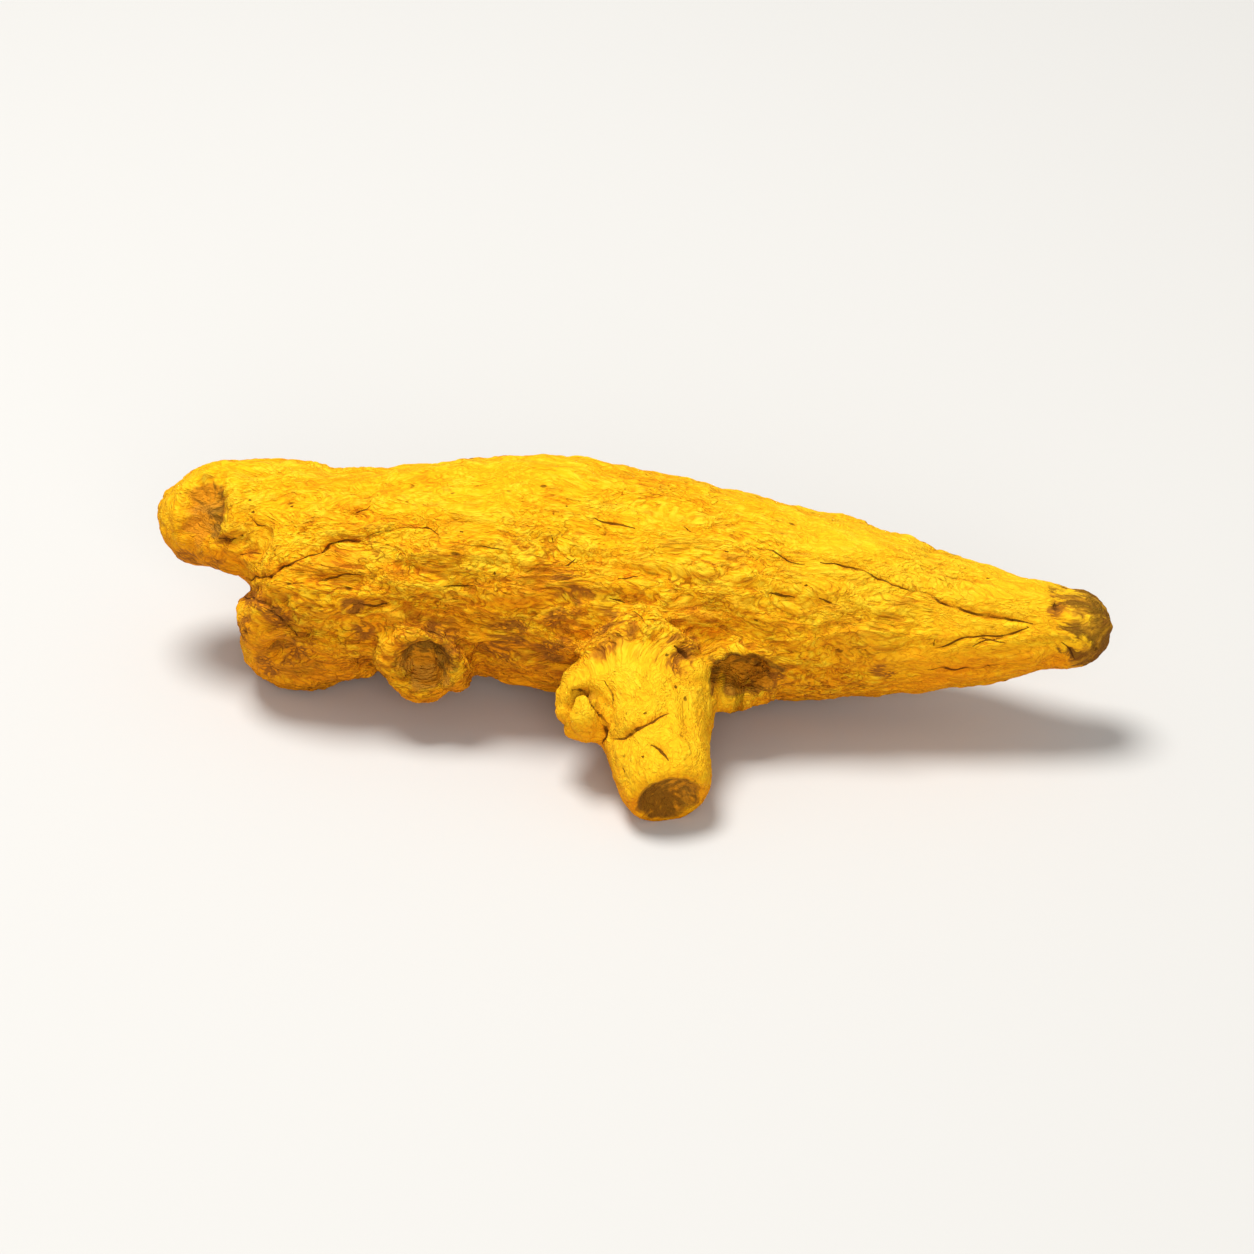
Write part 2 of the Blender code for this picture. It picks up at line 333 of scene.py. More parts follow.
def ringDepthAt(places):
    depth = np.zeros(len(places))
    for ring in rings["places"]:
        near = np.abs(places[:, 0] - ring["x"]) < rings["reach"]
        some = places[near]
        spots = np.column_stack([np.full(len(some), ring["x"]), some[:, 1:] / rings["wanderSize"]])
        wander = rings["wander"] * noiseAt(spots, 1.0)
        off = (some[:, 0] - ring["x"] - ring["lean"] * some[:, 2] - wander) / rings["width"]
        depth[near] += ring["depth"] * np.exp(-off * off)
    return depth


def scarSpotAt(places, scar):
    # distance from a scar's middle in shares of its radius, the direction there, and how far off its plane
    facing = np.array(Vector(scar["faces"]).normalized())
    side = np.cross(facing, (0.0, 0.0, 1.0))
    side /= np.linalg.norm(side)
    up = np.cross(side, facing)
    offset = places - np.array(scar["at"])
    lift = offset @ facing
    across = offset @ side / scar["radius"] / scar["wide"]
    upward = offset @ up / scar["radius"] / scar["tall"]
    return np.hypot(across, upward), np.arctan2(upward, across), lift


def scarsAt(places):
    # the height of the scars' hollows and rims, and 0 on them where the skin isn't wrinkled, 1 elsewhere
    height = np.zeros(len(places))
    wrinkled = np.ones(len(places))
    for scar in scars.values():
        distance, _, lift = scarSpotAt(places, scar)
        near = np.abs(lift) <= scarShape["reach"]
        hollow = 1.0 - smoothStep(scarShape["floor"], scarShape["edge"], distance)
        rim = np.exp(-(((distance - scarShape["crest"]) / scarShape["rimWidth"]) ** 2))
        rim *= 1.0 + scarShape["ragged"] * noiseAt(places, scarShape["raggedSize"], scarShape["raggedShift"])
        height += near * (scar["rim"] * rim - scar["depth"] * hollow)
        smooth = smoothStep(scarShape["smoothWithin"], scarShape["wrinkledFrom"], distance)
        wrinkled *= np.where(near, smooth, 1.0)
    return height, wrinkled


def awayFromRest(places):
    # 0 at the three spots that the root lies on, 1 away from them
    nearest = np.min([np.linalg.norm(places - np.array(spot), axis=1) for spot in lie["spots"]], axis=0)
    return smoothStep(lie["plainFrom"], lie["plainTo"], nearest)


def coarseAt(places, onShoot):
    # 1 where the skin is coarse and flaky, less where it is smooth
    patches = noiseAt(places, coarseSkin["patchSize"], coarseSkin["patchShift"])
    low = smoothStep(*coarseSkin["lowZ"], places[:, 2])
    low = low * smoothStep(*coarseSkin["fromX"], places[:, 0]) * smoothStep(*coarseSkin["toX"], places[:, 0])
    coarse = coarseSkin["least"] + coarseSkin["low"] * low + coarseSkin["patches"] * patches
    return np.clip(coarse, coarseSkin["floor"], 1.0) * (1.0 - coarseSkin["shootSmooth"] * onShoot)


def broadRelief(places, onShoot):
    # the lumps, folds, rings and scars that can be seen from a step away
    lump = folds["lumpHeight"] * noiseAt(places, folds["lumpSize"], folds["lumpShift"])
    folded = (1.0 - onShoot) * foldsAt(places, bodyAxis)
    folded += folds["shootShare"] * onShoot * foldsAt(places, shootAxis)
    height, wrinkled = scarsAt(places)
    wrinkled *= awayFromRest(places)
    grooves = (1.0 - onShoot) * ringDepthAt(places)
    folded *= coarseSkin["smoothFolds"] + (1.0 - coarseSkin["smoothFolds"]) * coarseAt(places, onShoot)
    return lump + wrinkled * folds["height"] * folded - grooves + height


# Cracks of the near side: width, depth and the places (x, z) that each runs through. Pits are single places.
cracks = {
    "front": [
        (0.34, 0.5, [(-26.3, -3.0), (-25.0, -3.1), (-22.8, -2.7), (-22.1, -2.1), (-20.8, -1.5)]),
        (0.26, 0.4, [(-20.8, -1.5), (-19.7, -0.7), (-18.9, -0.1), (-17.2, 0.3), (-16.4, 0.7)]),
        (0.2, 0.3, [(-16.4, 0.7), (-14.4, 1.4), (-12.8, 1.8), (-12.0, 1.3)]),
        (0.24, 0.35, [(-25.6, -1.8), (-24.6, -1.4), (-23.9, -1.4)]),
        (0.2, 0.3, [(-21.2, -3.0), (-19.0, -2.5), (-16.4, -1.9)]),
        (0.3, 0.35, [(-17.0, -4.1), (-15.8, -4.0), (-14.8, -3.6)]),
        (0.3, 0.4, [(-25.7, -4.3), (-24.4, -4.3), (-22.9, -4.4), (-22.0, -4.9)]),
        (0.26, 0.3, [(-26.9, -0.8), (-26.2, -0.9), (-25.6, -0.6)]),
        (0.3, 0.3, [(-23.0, -4.8), (-21.7, -5.6), (-20.6, -6.4)]),
        (0.18, 0.25, [(-17.7, 2.0), (-16.6, 2.6)]),
        (0.2, 0.25, [(-24.8, 0.8), (-24.2, 0.4), (-23.7, 0.6)]),
        (0.24, 0.35, [(12.8, 2.2), (14.4, 2.2), (15.9, 2.0), (16.8, 1.5), (18.3, 1.3), (19.7, 0.9)]),
        (0.3, 0.45, [(19.7, 0.9), (21.5, 0.4), (23.3, 0.1), (24.9, 0.0), (27.0, -0.2)]),
        (0.18, 0.2, [(3.8, 3.5), (4.7, 3.2)]),
        (0.16, 0.2, [(7.9, 2.8), (9.5, 2.7), (10.9, 2.1), (12.0, 2.0)]),
        (0.24, 0.35, [(20.9, -2.5), (22.7, -1.7), (23.9, -1.5), (25.2, -1.2), (26.8, -0.4)]),
        (0.18, 0.25, [(23.2, -2.2), (24.3, -1.7), (25.4, -1.8)]),
        (0.3, 0.25, [(9.8, -0.1), (11.5, -0.2)]),
        (0.22, 0.25, [(13.1, -0.3), (14.3, -0.4)]),
        (0.24, 0.25, [(14.8, -1.6), (16.5, -1.2)]),
        (0.2, 0.25, [(20.5, -3.9), (22.8, -3.7), (25.2, -3.1)]),
        (0.14, 0.15, [(20.7, -2.7), (20.8, -1.9)]),
        (0.3, 0.25, [(-2.0, 3.4), (-0.6, 3.1), (0.7, 3.1)]),
        (0.26, 0.3, [(-4.1, -0.1), (-3.4, 0.1), (-2.8, 0.6)]),
        (0.22, 0.25, [(-11.2, -2.2), (-9.3, -2.0)]),
        (0.24, 0.3, [(1.0, -2.3), (2.3, -2.6), (3.3, -2.9)]),
        (0.34, 0.4, [(-12.7, -4.7), (-11.5, -5.1), (-10.9, -5.4)]),
        (0.16, 0.2, [(-11.2, 0.8), (-9.5, 0.7), (-7.4, 0.7)]),
        (0.16, 0.2, [(-4.6, 2.0), (-4.4, 1.5)]),
        (0.2, 0.25, [(0.0, -0.3), (1.4, 0.0)]),
        (0.24, 0.25, [(-0.3, -1.7), (0.7, -1.9)]),
        (0.2, 0.25, [(-5.6, -3.3), (-4.7, -3.0)]),
        (0.3, 0.5, [(0.9, -10.5), (1.8, -10.4), (2.2, -10.1), (3.2, -9.4), (4.1, -8.7), (4.6, -8.5)]),
        (0.42, 0.65, [
            (-1.9, -8.0), (-1.4, -7.8), (-0.6, -8.0), (0.1, -8.7), (0.5, -9.5), (0.5, -10.4), (0.2, -11.4),
        ]),
        (0.26, 0.35, [(0.1, -7.0), (0.7, -7.8), (0.8, -8.6)]),
        (0.34, 0.3, [(3.8, -10.6), (4.4, -10.9), (5.1, -11.5)]),
        (0.2, 0.25, [(2.0, -12.2), (2.3, -12.8)]),
        (0.5, 0.5, [(4.3, -4.2), (5.0, -4.5), (5.6, -5.2)]),
        (0.4, 0.3, [(28.2, 1.3), (28.3, 0.8)]),
        (0.24, 0.25, [(28.9, -1.2), (29.5, -1.6), (29.9, -2.2)]),
    ],
    "pits": [
        (-26.2, 1.5), (-25.0, 2.1), (-24.7, 1.3), (-22.1, 2.0), (-14.4, 3.1), (-25.3, -0.3), (-19.0, 2.4),
        (23.7, 2.4), (6.8, 2.2), (12.2, 0.6), (9.2, -2.1), (-4.7, 3.5), (-0.5, 5.2), (0.7, 4.0), (-7.9, -0.9),
        (-3.9, 4.1), (-10.4, 1.6), (5.7, -9.8), (3.1, -8.7), (3.9, -4.9), (-1.4, -9.2), (4.8, -6.8),
        (3.4, -11.4),
    ],
    "pitLength": 0.16,
    "pitWidth": 0.14,
    "pitDepth": 0.2,
    "widthTimes": 0.3,
    "depthTimes": 0.7,
    "step": 0.3,
    "wander": 0.22,
    "wanderSize": 1.3,
    "wanderShift": (5.1, 0.3, 2.2),
    "tremble": 0.07,
    "trembleSize": 0.4,
    "trembleShift": (2.6, 3.3, 7.1),
    "castFrom": -40.0,
    "endWidth": 0.4,
    "endSteps": 4.0,
    "reach": 0.75,
    "nearFades": (0.3, 0.6),
    "grooveWidth": 0.2,
    "strayCount": 90,
    "strayFacing": 0.1,
    "strayShoot": 0.2,
    "straySteps": (3, 22),
    "strayLean": 0.15,
    "strayKeeps": 0.8,
    "strayTurn": 0.13,
    "strayWidth": (0.03, 0.08),
    "strayDepth": (0.03, 0.12),
    "seed": 11,
}

# Domes of the near side, such as the bud's inner scale, with a crease above each; the edge of the bud's hood;
# and dents, written like the cracks. All places are (x, z).
nearShape = {
    "facing": (0.3, -0.1),
    "bud": (-0.9, -9.0),
    "budReach": 3.4,
    "swells": [
        {"at": (-0.75, -9.35), "across": 1.2, "tall": 1.6, "height": 0.75, "crease": 0.3},
        {"at": (1.9, -9.1), "across": 0.95, "tall": 1.0, "height": 0.4, "crease": 0.12},
        {"at": (7.1, -4.9), "across": 0.8, "tall": 0.6, "height": 0.5, "crease": 0.1},
        {"at": (-10.4, -7.2), "across": 1.3, "tall": 1.4, "height": 0.9, "crease": 0.0},
    ],
    "domePower": 0.7,
    "creaseAt": 1.12,
    "creaseWidth": 0.16,
    "creaseFades": (-0.9, 0.1),
    "hood": (0.24, 0.5, [(-2.1, -8.8), (-1.7, -8.1), (-1.1, -7.8), (-0.4, -7.9), (0.2, -8.4)]),
    "dents": [
        (0.6, 0.6, [(-22.3, -5.9), (-21.3, -5.5), (-20.2, -6.2)]),
        (0.65, 0.7, [(-22.8, -7.9), (-21.7, -7.3), (-20.5, -7.8)]),
        (0.4, 0.4, [(-23.0, -8.8), (-21.2, -9.1), (-19.2, -8.4)]),
        (0.4, 0.45, [(-25.2, -3.9), (-24.0, -3.8), (-22.6, -4.4), (-21.6, -4.3)]),
        (0.4, 0.5, [(-16.4, -7.6), (-15.9, -7.9)]),
        (0.25, 0.2, [(-17.4, -4.3), (-16.0, -4.1), (-14.8, -3.6)]),
        (0.45, 0.4, [(-13.3, -4.2), (-12.0, -4.6), (-10.7, -5.0), (-9.8, -5.8)]),
        (0.5, 0.4, [(-8.6, -6.2), (-6.6, -5.9), (-4.4, -6.2)]),
        (0.35, 0.3, [(-26.6, -0.8), (-25.4, -0.6), (-24.2, -1.2)]),
    ],
    "wander": 0.25,
    "wanderSize": 1.1,
    "wanderShifts": [(3.3, 7.4, 1.1), (6.2, 0.8, 4.9)],
    "darkDepth": 0.7,
}

# Soiled, greyish brown places of the near side, and painted shade under the neck and on the shoulder: x, z
# and radius.
grimeAndShadePlaces = [
    (-3.3, -3.6, 1.5), (-2.9, -1.5, 1.3), (0.4, -4.0, 1.7), (5.0, -4.5, 1.1), (-6.7, -5.2, 1.8),
    (-4.1, -5.5, 1.3), (-10.8, -5.6, 1.5), (-16.2, -5.6, 1.0), (-22.0, -5.2, 1.1), (-24.0, -4.4, 1.2),
    (-17.0, -4.2, 0.9), (-28.4, 0.4, 1.2), (28.3, 1.0, 0.7), (4.4, -5.2, 1.0), (10.0, -5.6, 1.6),
    (-29.3, -2.4, 1.3), (-27.4, -2.9, 1.3), (-24.6, -6.5, 1.0), (17.5, -4.6, 0.9), (-20.9, -7.4, 1.2),
    (-23.0, -8.5, 1.0),
]
# Scattered grime of the far side.
farGrime = {"size": 3.2, "shift": (9.1, 4.2, 6.7), "fades": (0.25, 0.6), "most": 0.8}


def nearestPoints(places):
    tree = kdtree.KDTree(len(places))
    for order, place in enumerate(places):
        tree.insert(place, order)
    tree.balance()
    return tree


def skinShape(mesh):
    shape = bmesh.new()
    shape.from_mesh(mesh)
    shape.transform(Matrix.Scale(1.0 / mm, 4))
    surface = bvhtree.BVHTree.FromBMesh(shape)
    shape.free()
    return surface


def fromSegment(points, start, end):
    # the share along the segment nearest to each point, the way from there to the point, and its length
    run = end - start
    share = np.clip(((points - start) @ run) / max(run @ run, 1e-6), 0.0, 1.0)
    gap = points - start - np.outer(share, run)
    return share, gap, np.linalg.norm(gap, axis=1)


def nearSideLines(surface):
    # the listed cracks and pits as rows of points on the skin of the near side
    half = cracks["pitLength"] / 2
    pitWidth = cracks["pitWidth"] / cracks["widthTimes"]
    pits = [(pitWidth, cracks["pitDepth"], [(x - half, z), (x + half, z)]) for x, z in cracks["pits"]]
    ahead = Vector((0.0, 1.0, 0.0))
    lines = []
    for width, depth, through in cracks["front"] + pits:
        joints = np.array(through, float)
        lengths = np.concatenate([[0.0], np.cumsum(np.linalg.norm(np.diff(joints, axis=0), axis=1))])
        count = max(2, int(lengths[-1] / cracks["step"]) + 1)
        along = np.linspace(0.0, lengths[-1], count)
        x = np.interp(along, lengths, joints[:, 0])
        z = np.interp(along, lengths, joints[:, 1])
        if count > 3:
            flat = np.column_stack([x, np.zeros(count), z])
            z = z + cracks["wander"] * noiseAt(flat, cracks["wanderSize"], cracks["wanderShift"])
            z = z + cracks["tremble"] * noiseAt(flat, cracks["trembleSize"], cracks["trembleShift"])
        casts = [Vector((spotX, cracks["castFrom"], spotZ)) for spotX, spotZ in zip(x, z)]
        hits = [surface.ray_cast(cast, ahead)[0] for cast in casts]
        points = [np.array(hit) for hit in hits if hit is not None]
        if len(points) > 1:
            lines.append({
                "points": np.array(points),
                "width": width * cracks["widthTimes"],
                "depth": depth * cracks["depthTimes"],
            })
    return lines


def strayLines(surface, places, normals, onShoot):
    # fine cracks that wander along the grain of the body's far side
    draw = np.random.default_rng(cracks["seed"])
    starts = np.flatnonzero((normals[:, 1] > cracks["strayFacing"]) & (onShoot < cracks["strayShoot"]))
    axis = np.array(bodyAxis)
    lines = []
    for _ in range(cracks["strayCount"]):
        here = places[starts[draw.integers(len(starts))]]
        slope = draw.normal(0.0, cracks["strayLean"], 3)
        points = [here]
        for _ in range(int(draw.integers(*cracks["straySteps"]))):
            slope = cracks["strayKeeps"] * slope + draw.normal(0.0, cracks["strayTurn"], 3)
            found = surface.find_nearest(Vector(here + cracks["step"] * (axis + slope)))[0]
            here = np.array(found)
            points.append(here)
        lines.append({
            "points": np.array(points),
            "width": draw.uniform(*cracks["strayWidth"]),
            "depth": draw.uniform(*cracks["strayDepth"]),
        })
    return lines


def crackFields(mesh, places, normals, onShoot):
    # from each point, the way to the nearest crack in crack widths, how near that is, and the groove there
    away = np.tile((farAway, 0.0, 0.0), (len(places), 1))
    nearest = np.full(len(places), farAway)
    groove = np.zeros(len(places))
    skin = nearestPoints(places)
    surface = skinShape(mesh)
    for line in nearSideLines(surface) + strayLines(surface, places, normals, onShoot):
        points = line["points"]
        last = len(points) - 1
        for step in range(last):
            start = points[step]
            end = points[step + 1]
            found = skin.find_range(Vector((start + end) / 2), cracks["reach"])
            orders = np.array([order for _, order, _ in found], int)
            share, gap, distance = fromSegment(places[orders], start, end)
            fromEnd = np.minimum(step + share, last - step - share)
            full = smoothStep(0.0, min(cracks["endSteps"], last / 2), fromEnd)
            width = line["width"] * (cracks["endWidth"] + (1.0 - cracks["endWidth"]) * full)
            closer = distance < nearest[orders]
            changed = orders[closer]
            nearest[changed] = distance[closer]
            away[changed] = gap[closer] / width[closer, None]
            shape = np.exp(-((distance / np.maximum(width, cracks["grooveWidth"])) ** 2))
            groove[orders] = np.maximum(groove[orders], line["depth"] * shape * width / line["width"])
    return away, 1.0 - smoothStep(*cracks["nearFades"], nearest / cracks["reach"]), groove


def domesAt(places):
    height = np.zeros(len(places))
    for swell in nearShape["swells"]:
        across = (places[:, 0] - swell["at"][0]) / swell["across"]
        upward = (places[:, 2] - swell["at"][1]) / swell["tall"]
        distance = np.hypot(across, upward)
        dome = np.clip(1.0 - distance * distance, 0.0, 1.0) ** nearShape["domePower"]
        crease = np.exp(-(((distance - nearShape["creaseAt"]) / nearShape["creaseWidth"]) ** 2))
        crease *= smoothStep(*nearShape["creaseFades"], upward)
        height += swell["height"] * dome - swell["crease"] * crease
    return height


def nearRelief(places, facing):
    # the height of the near side's domes and dents, and how deep in a dent each point is
    straight = places[:, [0, 2]]
    wander = nearShape["wander"] * np.column_stack([
        noiseAt(places, nearShape["wanderSize"], shift) for shift in nearShape["wanderShifts"]
    ])
    hollow = np.zeros(len(places))
    dented = np.zeros(len(places))
    flats = [straight] + [straight + wander] * len(nearShape["dents"])  # the hood's edge doesn't wander
    for flat, (width, depth, through) in zip(flats, [nearShape["hood"]] + nearShape["dents"]):
        nearest = np.full(len(places), farAway)
        for start, end in zip(np.array(through[:-1]), np.array(through[1:])):
            nearest = np.minimum(nearest, fromSegment(flat, start, end)[2])
        shape = facing * np.exp(-((nearest / width) ** 2))
        hollow = np.maximum(hollow, shape * min(1.0, depth / nearShape["darkDepth"]))
        dented = np.maximum(dented, depth * shape)
    return facing * domesAt(places) - dented, hollow


def grimeAndShadeAt(places, facing):
    grime = np.zeros(len(places))
    for x, z, radius in grimeAndShadePlaces:
        distance = np.hypot(places[:, 0] - x, places[:, 2] - z) / radius
        grime = np.maximum(grime, facing * np.exp(-distance * distance))
    scattered = noiseAt(places, farGrime["size"], farGrime["shift"])
    return np.maximum(grime, ~facing * farGrime["most"] * smoothStep(*farGrime["fades"], scattered))


class Value:
    # a number from a node's socket; sums and products with it add Math nodes

    def __init__(self, nodes, socket):
        self.nodes = nodes
        self.socket = socket

    def math(self, operation, *others):
        inputs = dict(enumerate([self, *others]))
        return self.nodes.value("ShaderNodeMath", {"operation": operation}, inputs)

    def __add__(self, other):
        return self.math("ADD", other)

    __radd__ = __add__

    def __sub__(self, other):
        return self.math("SUBTRACT", other)

    def __rsub__(self, other):
        return self.nodes.value("ShaderNodeMath", {"operation": "SUBTRACT"}, {0: other, 1: self})

    def __mul__(self, other):
        return self.math("MULTIPLY", other)

    __rmul__ = __mul__

    def __truediv__(self, other):
        return self.math("DIVIDE", other)

    def __abs__(self):
        return self.math("ABSOLUTE")

    def power(self, exponent):
        return self.math("POWER", exponent)

    def atLeast(self, other):
        return self.math("MAXIMUM", other)

    def atMost(self, other):
        return self.math("MINIMUM", other)

    def between(self, low, high):
        # 0 below low, 1 above high, smooth between; low may be above high
        settings = {"interpolation_type": "SMOOTHSTEP"}
        inputs = {"Value": self, "From Min": low, "From Max": high, "To Min": 0.0, "To Max": 1.0}
        if low > high:
            inputs.update({"From Min": high, "From Max": low, "To Min": 1.0, "To Max": 0.0})
        return self.nodes.value("ShaderNodeMapRange", settings, inputs, "Result")


class NodeKit:
    # adds nodes to one tree

    def __init__(self, tree):
        self.tree = tree

    def add(self, kind, settings=None, inputs=None):
        made = self.tree.nodes.new(kind)
        for name, setting in (settings or {}).items():
            if name == "stops":
                self.setStops(made.color_ramp, setting)
            else:
                setattr(made, name, setting)
        for name, given in (inputs or {}).items():
            self.plug(made.inputs[name], given)
        return made

    def setStops(self, ramp, stops):
        while len(ramp.elements) < len(stops):
            ramp.elements.new(0.5)
        for element, (position, colour) in zip(ramp.elements, stops):
            element.position = position
            element.color = (*colour, 1.0)

    def plug(self, socket, given):
        if isinstance(given, Value):
            given = given.socket
        if isinstance(given, bpy.types.NodeSocket):
            self.tree.links.new(given, socket)
        elif socket.type == "RGBA":
            socket.default_value = (*given, 1.0)
        else:
            socket.default_value = given

    def value(self, kind, settings=None, inputs=None, output=0):
        return Value(self, self.add(kind, settings, inputs).outputs[output])

    def noise(self, vector, scale, detail=0.0, roughness=0.5):
        inputs = {"Vector": vector, "Scale": scale, "Detail": detail, "Roughness": roughness}
        return self.add("ShaderNodeTexNoise", {"noise_dimensions": "3D"}, inputs)

    def spread(self, vector, scale, detail, roughness=0.5):
        # noise about 0
        return Value(self, self.noise(vector, scale, detail, roughness).outputs["Fac"]) - 0.5

    def ridged(self, vector, scale):
        # rounded ridges of 0 to about 1 with sharp valleys between them
        return abs(self.spread(vector, scale, 1.0)) * 4.0

    def blend(self, share, first, second):
        return self.add("ShaderNodeMix", {"data_type": "RGBA"}, {0: share, 6: first, 7: second}).outputs[2]

    def vectorMath(self, operation, first, second=None, scale=None):
        inputs = {0: first}
        if second is not None:
            inputs[1] = second
        if scale is not None:
            inputs["Scale"] = scale
        return self.add("ShaderNodeVectorMath", {"operation": operation}, inputs).outputs[0]

    def warped(self, vector, scale, amount):
        # the vector pushed about by noise
        push = self.vectorMath("SUBTRACT", self.noise(vector, scale).outputs["Color"], (0.5, 0.5, 0.5))
        return self.vectorMath("ADD", vector, self.vectorMath("SCALE", push, scale=amount))


# Fine relief of the skin, in millimetres. Grain is in millimetres too, squeezed along the root.
skinRelief = {
    "Wrinkle height": 0.29,
    "Wrinkles per mm": 1.0,
    "Crease height": 0.2,
    "Creases per mm": 2.1,
    "Flake height": 0.17,
    "Flakes per mm": 1.25,
    "Crack depth": 1.0,
}
grainTimes = {"body": 0.46, "shoot": 0.8}
# Scale and amount of the noise that makes the grain wander, and the cracks and slits with it.
skinDrift = {
    "broad": (0.45, 1.3),
    "close": (1.4, 0.33),
    "quiver": (3.6, 0.11),
    "crack": (1.7, 0.9),
    "slit": (1.9, 0.4),
}
# The power that rounds each kind of ridge, the height taken as level, and what is left of it on smooth skin.
ridgeForm = {
    "wrinkle": {"power": 0.75, "level": 0.5, "least": 0.25},
    "crease": {"power": 0.8, "level": 0.45, "least": 0.3},
    "most": 1.2,
}
flakeForm = {"level": 0.35, "tilt": 0.6}


def upwardAsGrown():
    # up as the root lies, in the frame that it is built in
    turn = Matrix.Rotation(-lie["roll"], 3, "X") @ Matrix.Rotation(-lie["pitch"], 3, "Y")
    return turn @ Vector((0.0, 0.0, 1.0))


def skinTree():
    # pushes the skin in and out by its wrinkles, creases, flakes and cracks, and keeps what the paint needs
    tree = bpy.data.node_groups.new("dried skin", "GeometryNodeTree")
    tree.interface.new_socket("Geometry", in_out="INPUT", socket_type="NodeSocketGeometry")
    for name, amount in skinRelief.items():
        socket = tree.interface.new_socket(name, in_out="INPUT", socket_type="NodeSocketFloat")
        socket.default_value = amount
    tree.interface.new_socket("Material", in_out="INPUT", socket_type="NodeSocketMaterial")
    tree.interface.new_socket("Geometry", in_out="OUTPUT", socket_type="NodeSocketGeometry")
    kit = NodeKit(tree)
    given = kit.add("NodeGroupInput").outputs

    def stored(name, kind="FLOAT"):
        return kit.add("GeometryNodeInputNamedAttribute", {"data_type": kind}, {"Name": name}).outputs[0]

    def size(name):
        return Value(kit, given[name])

    grain = stored("grain", "FLOAT_VECTOR")
    coarse = Value(kit, stored("coarse"))
    calm = Value(kit, stored("calm"))
    groove = Value(kit, stored("groove"))
    fibrous = Value(kit, stored("fibrous"))
    drift = kit.warped(grain, *skinDrift["broad"])
    shiver = kit.warped(drift, *skinDrift["close"])

    def rounded(ridge, form):
        share = form["least"] + (1.0 - form["least"]) * coarse
        return (ridge.atMost(ridgeForm["most"]).power(form["power"]) - form["level"]) * share

    wrinkle = rounded(kit.ridged(drift, size("Wrinkles per mm")), ridgeForm["wrinkle"])
    crease = rounded(kit.ridged(shiver, size("Creases per mm")), ridgeForm["crease"])
    flakes = {"Vector": shiver, "Scale": size("Flakes per mm")}
    flake = kit.add("ShaderNodeTexVoronoi", {"feature": "F1"}, flakes)
    flakeLift = kit.value("ShaderNodeSeparateXYZ", {}, {0: flake.outputs["Color"]})
    flakeTilt = Value(kit, flake.outputs["Distance"])
    flaked = (flakeLift - flakeForm["level"] - flakeTilt * flakeForm["tilt"]) * coarse

    height = size("Wrinkle height") * wrinkle + size("Crease height") * crease + size("Flake height") * flaked
    height = height * calm + fibrous - size("Crack depth") * groove

    def stamped(geometry, name, amount):
        settings = {"data_type": "FLOAT", "domain": "POINT"}
        inputs = {"Geometry": geometry, "Name": name, "Value": amount}
        return kit.add("GeometryNodeStoreNamedAttribute", settings, inputs).outputs[0]

    normal = kit.add("GeometryNodeInputNormal").outputs[0]
    push = kit.vectorMath("SCALE", normal, scale=height * mm)
    risen = stamped(given["Geometry"], "rise", height)
    moved = kit.add("GeometryNodeSetPosition", {}, {"Geometry": risen, "Offset": push}).outputs[0]
    # how much the moved skin faces up, kept for the painted warm shade on slopes that face down
    slopes = {0: normal, 1: upwardAsGrown()}
    level = kit.value("ShaderNodeVectorMath", {"operation": "DOT_PRODUCT"}, slopes, "Value")
    sloped = stamped(moved, "level", level)
    real = kit.add("GeometryNodeRealizeInstances", {}, {"Geometry": sloped}).outputs[0]
    painted = kit.add("GeometryNodeSetMaterial", {}, {"Geometry": real, "Material": given["Material"]})
    kit.add("NodeGroupOutput", {}, {"Geometry": painted.outputs[0]})
    return tree


skinColours = {
    "deep": (0.26, 0.070, 0.002),
    "ochre": (0.66, 0.205, 0.003),
    "yellow": (0.89, 0.375, 0.004),
    "bright": (0.92, 0.475, 0.006),
    # the lightest tone: dust, and painted highlight on the tops of the ridges
    "dustAndHighlight": (0.96, 0.595, 0.020),
    "lemon": (0.95, 0.60, 0.020),
    "warm": (0.90, 0.335, 0.003),
    "orange": (0.83, 0.262, 0.003),
    "crack": (0.085, 0.026, 0.002),
    "crease": (0.38, 0.083, 0.003),
    "fleck": (0.29, 0.066, 0.004),
    "grime": (0.20, 0.066, 0.011),
    "brown": (0.20, 0.075, 0.008),
    "scar": (0.20, 0.078, 0.007),
    "scarPale": (0.70, 0.255, 0.009),
    "ash": (0.50, 0.25, 0.035),
    "tip": (0.13, 0.048, 0.007),
    "tipPale": (0.50, 0.215, 0.012),
}
# Steps of the ramp from dark to light, and how far each thing moves the skin along it, which partly paints
# light and shade.
toneStops = [(0.0, "deep"), (0.26, "ochre"), (0.48, "yellow"), (0.7, "bright"), (1.0, "dustAndHighlight")]
skinTone = {
    "plain": 0.75,
    # rise and fine: lighter on raised skin and darker in hollows, painted light and shade, partly the skin's
    # own orange-brown in recesses and dust on ridges
    "rise": 1.3,
    "fine": 4.4,
    "broad": 0.45,
    "patch": 0.85,
    # coarse skin lighter, partly painted light low on the body
    "coarse": 0.3,
    # darker at the flakes' torn edges: painted shadow under the flakes
    "flakeEdge": -0.3,
    # darker where the skin faces down: painted shade
    "under": -0.24,
    # darker in the dents: painted shade, partly brown
    "hollow": -0.3,
}
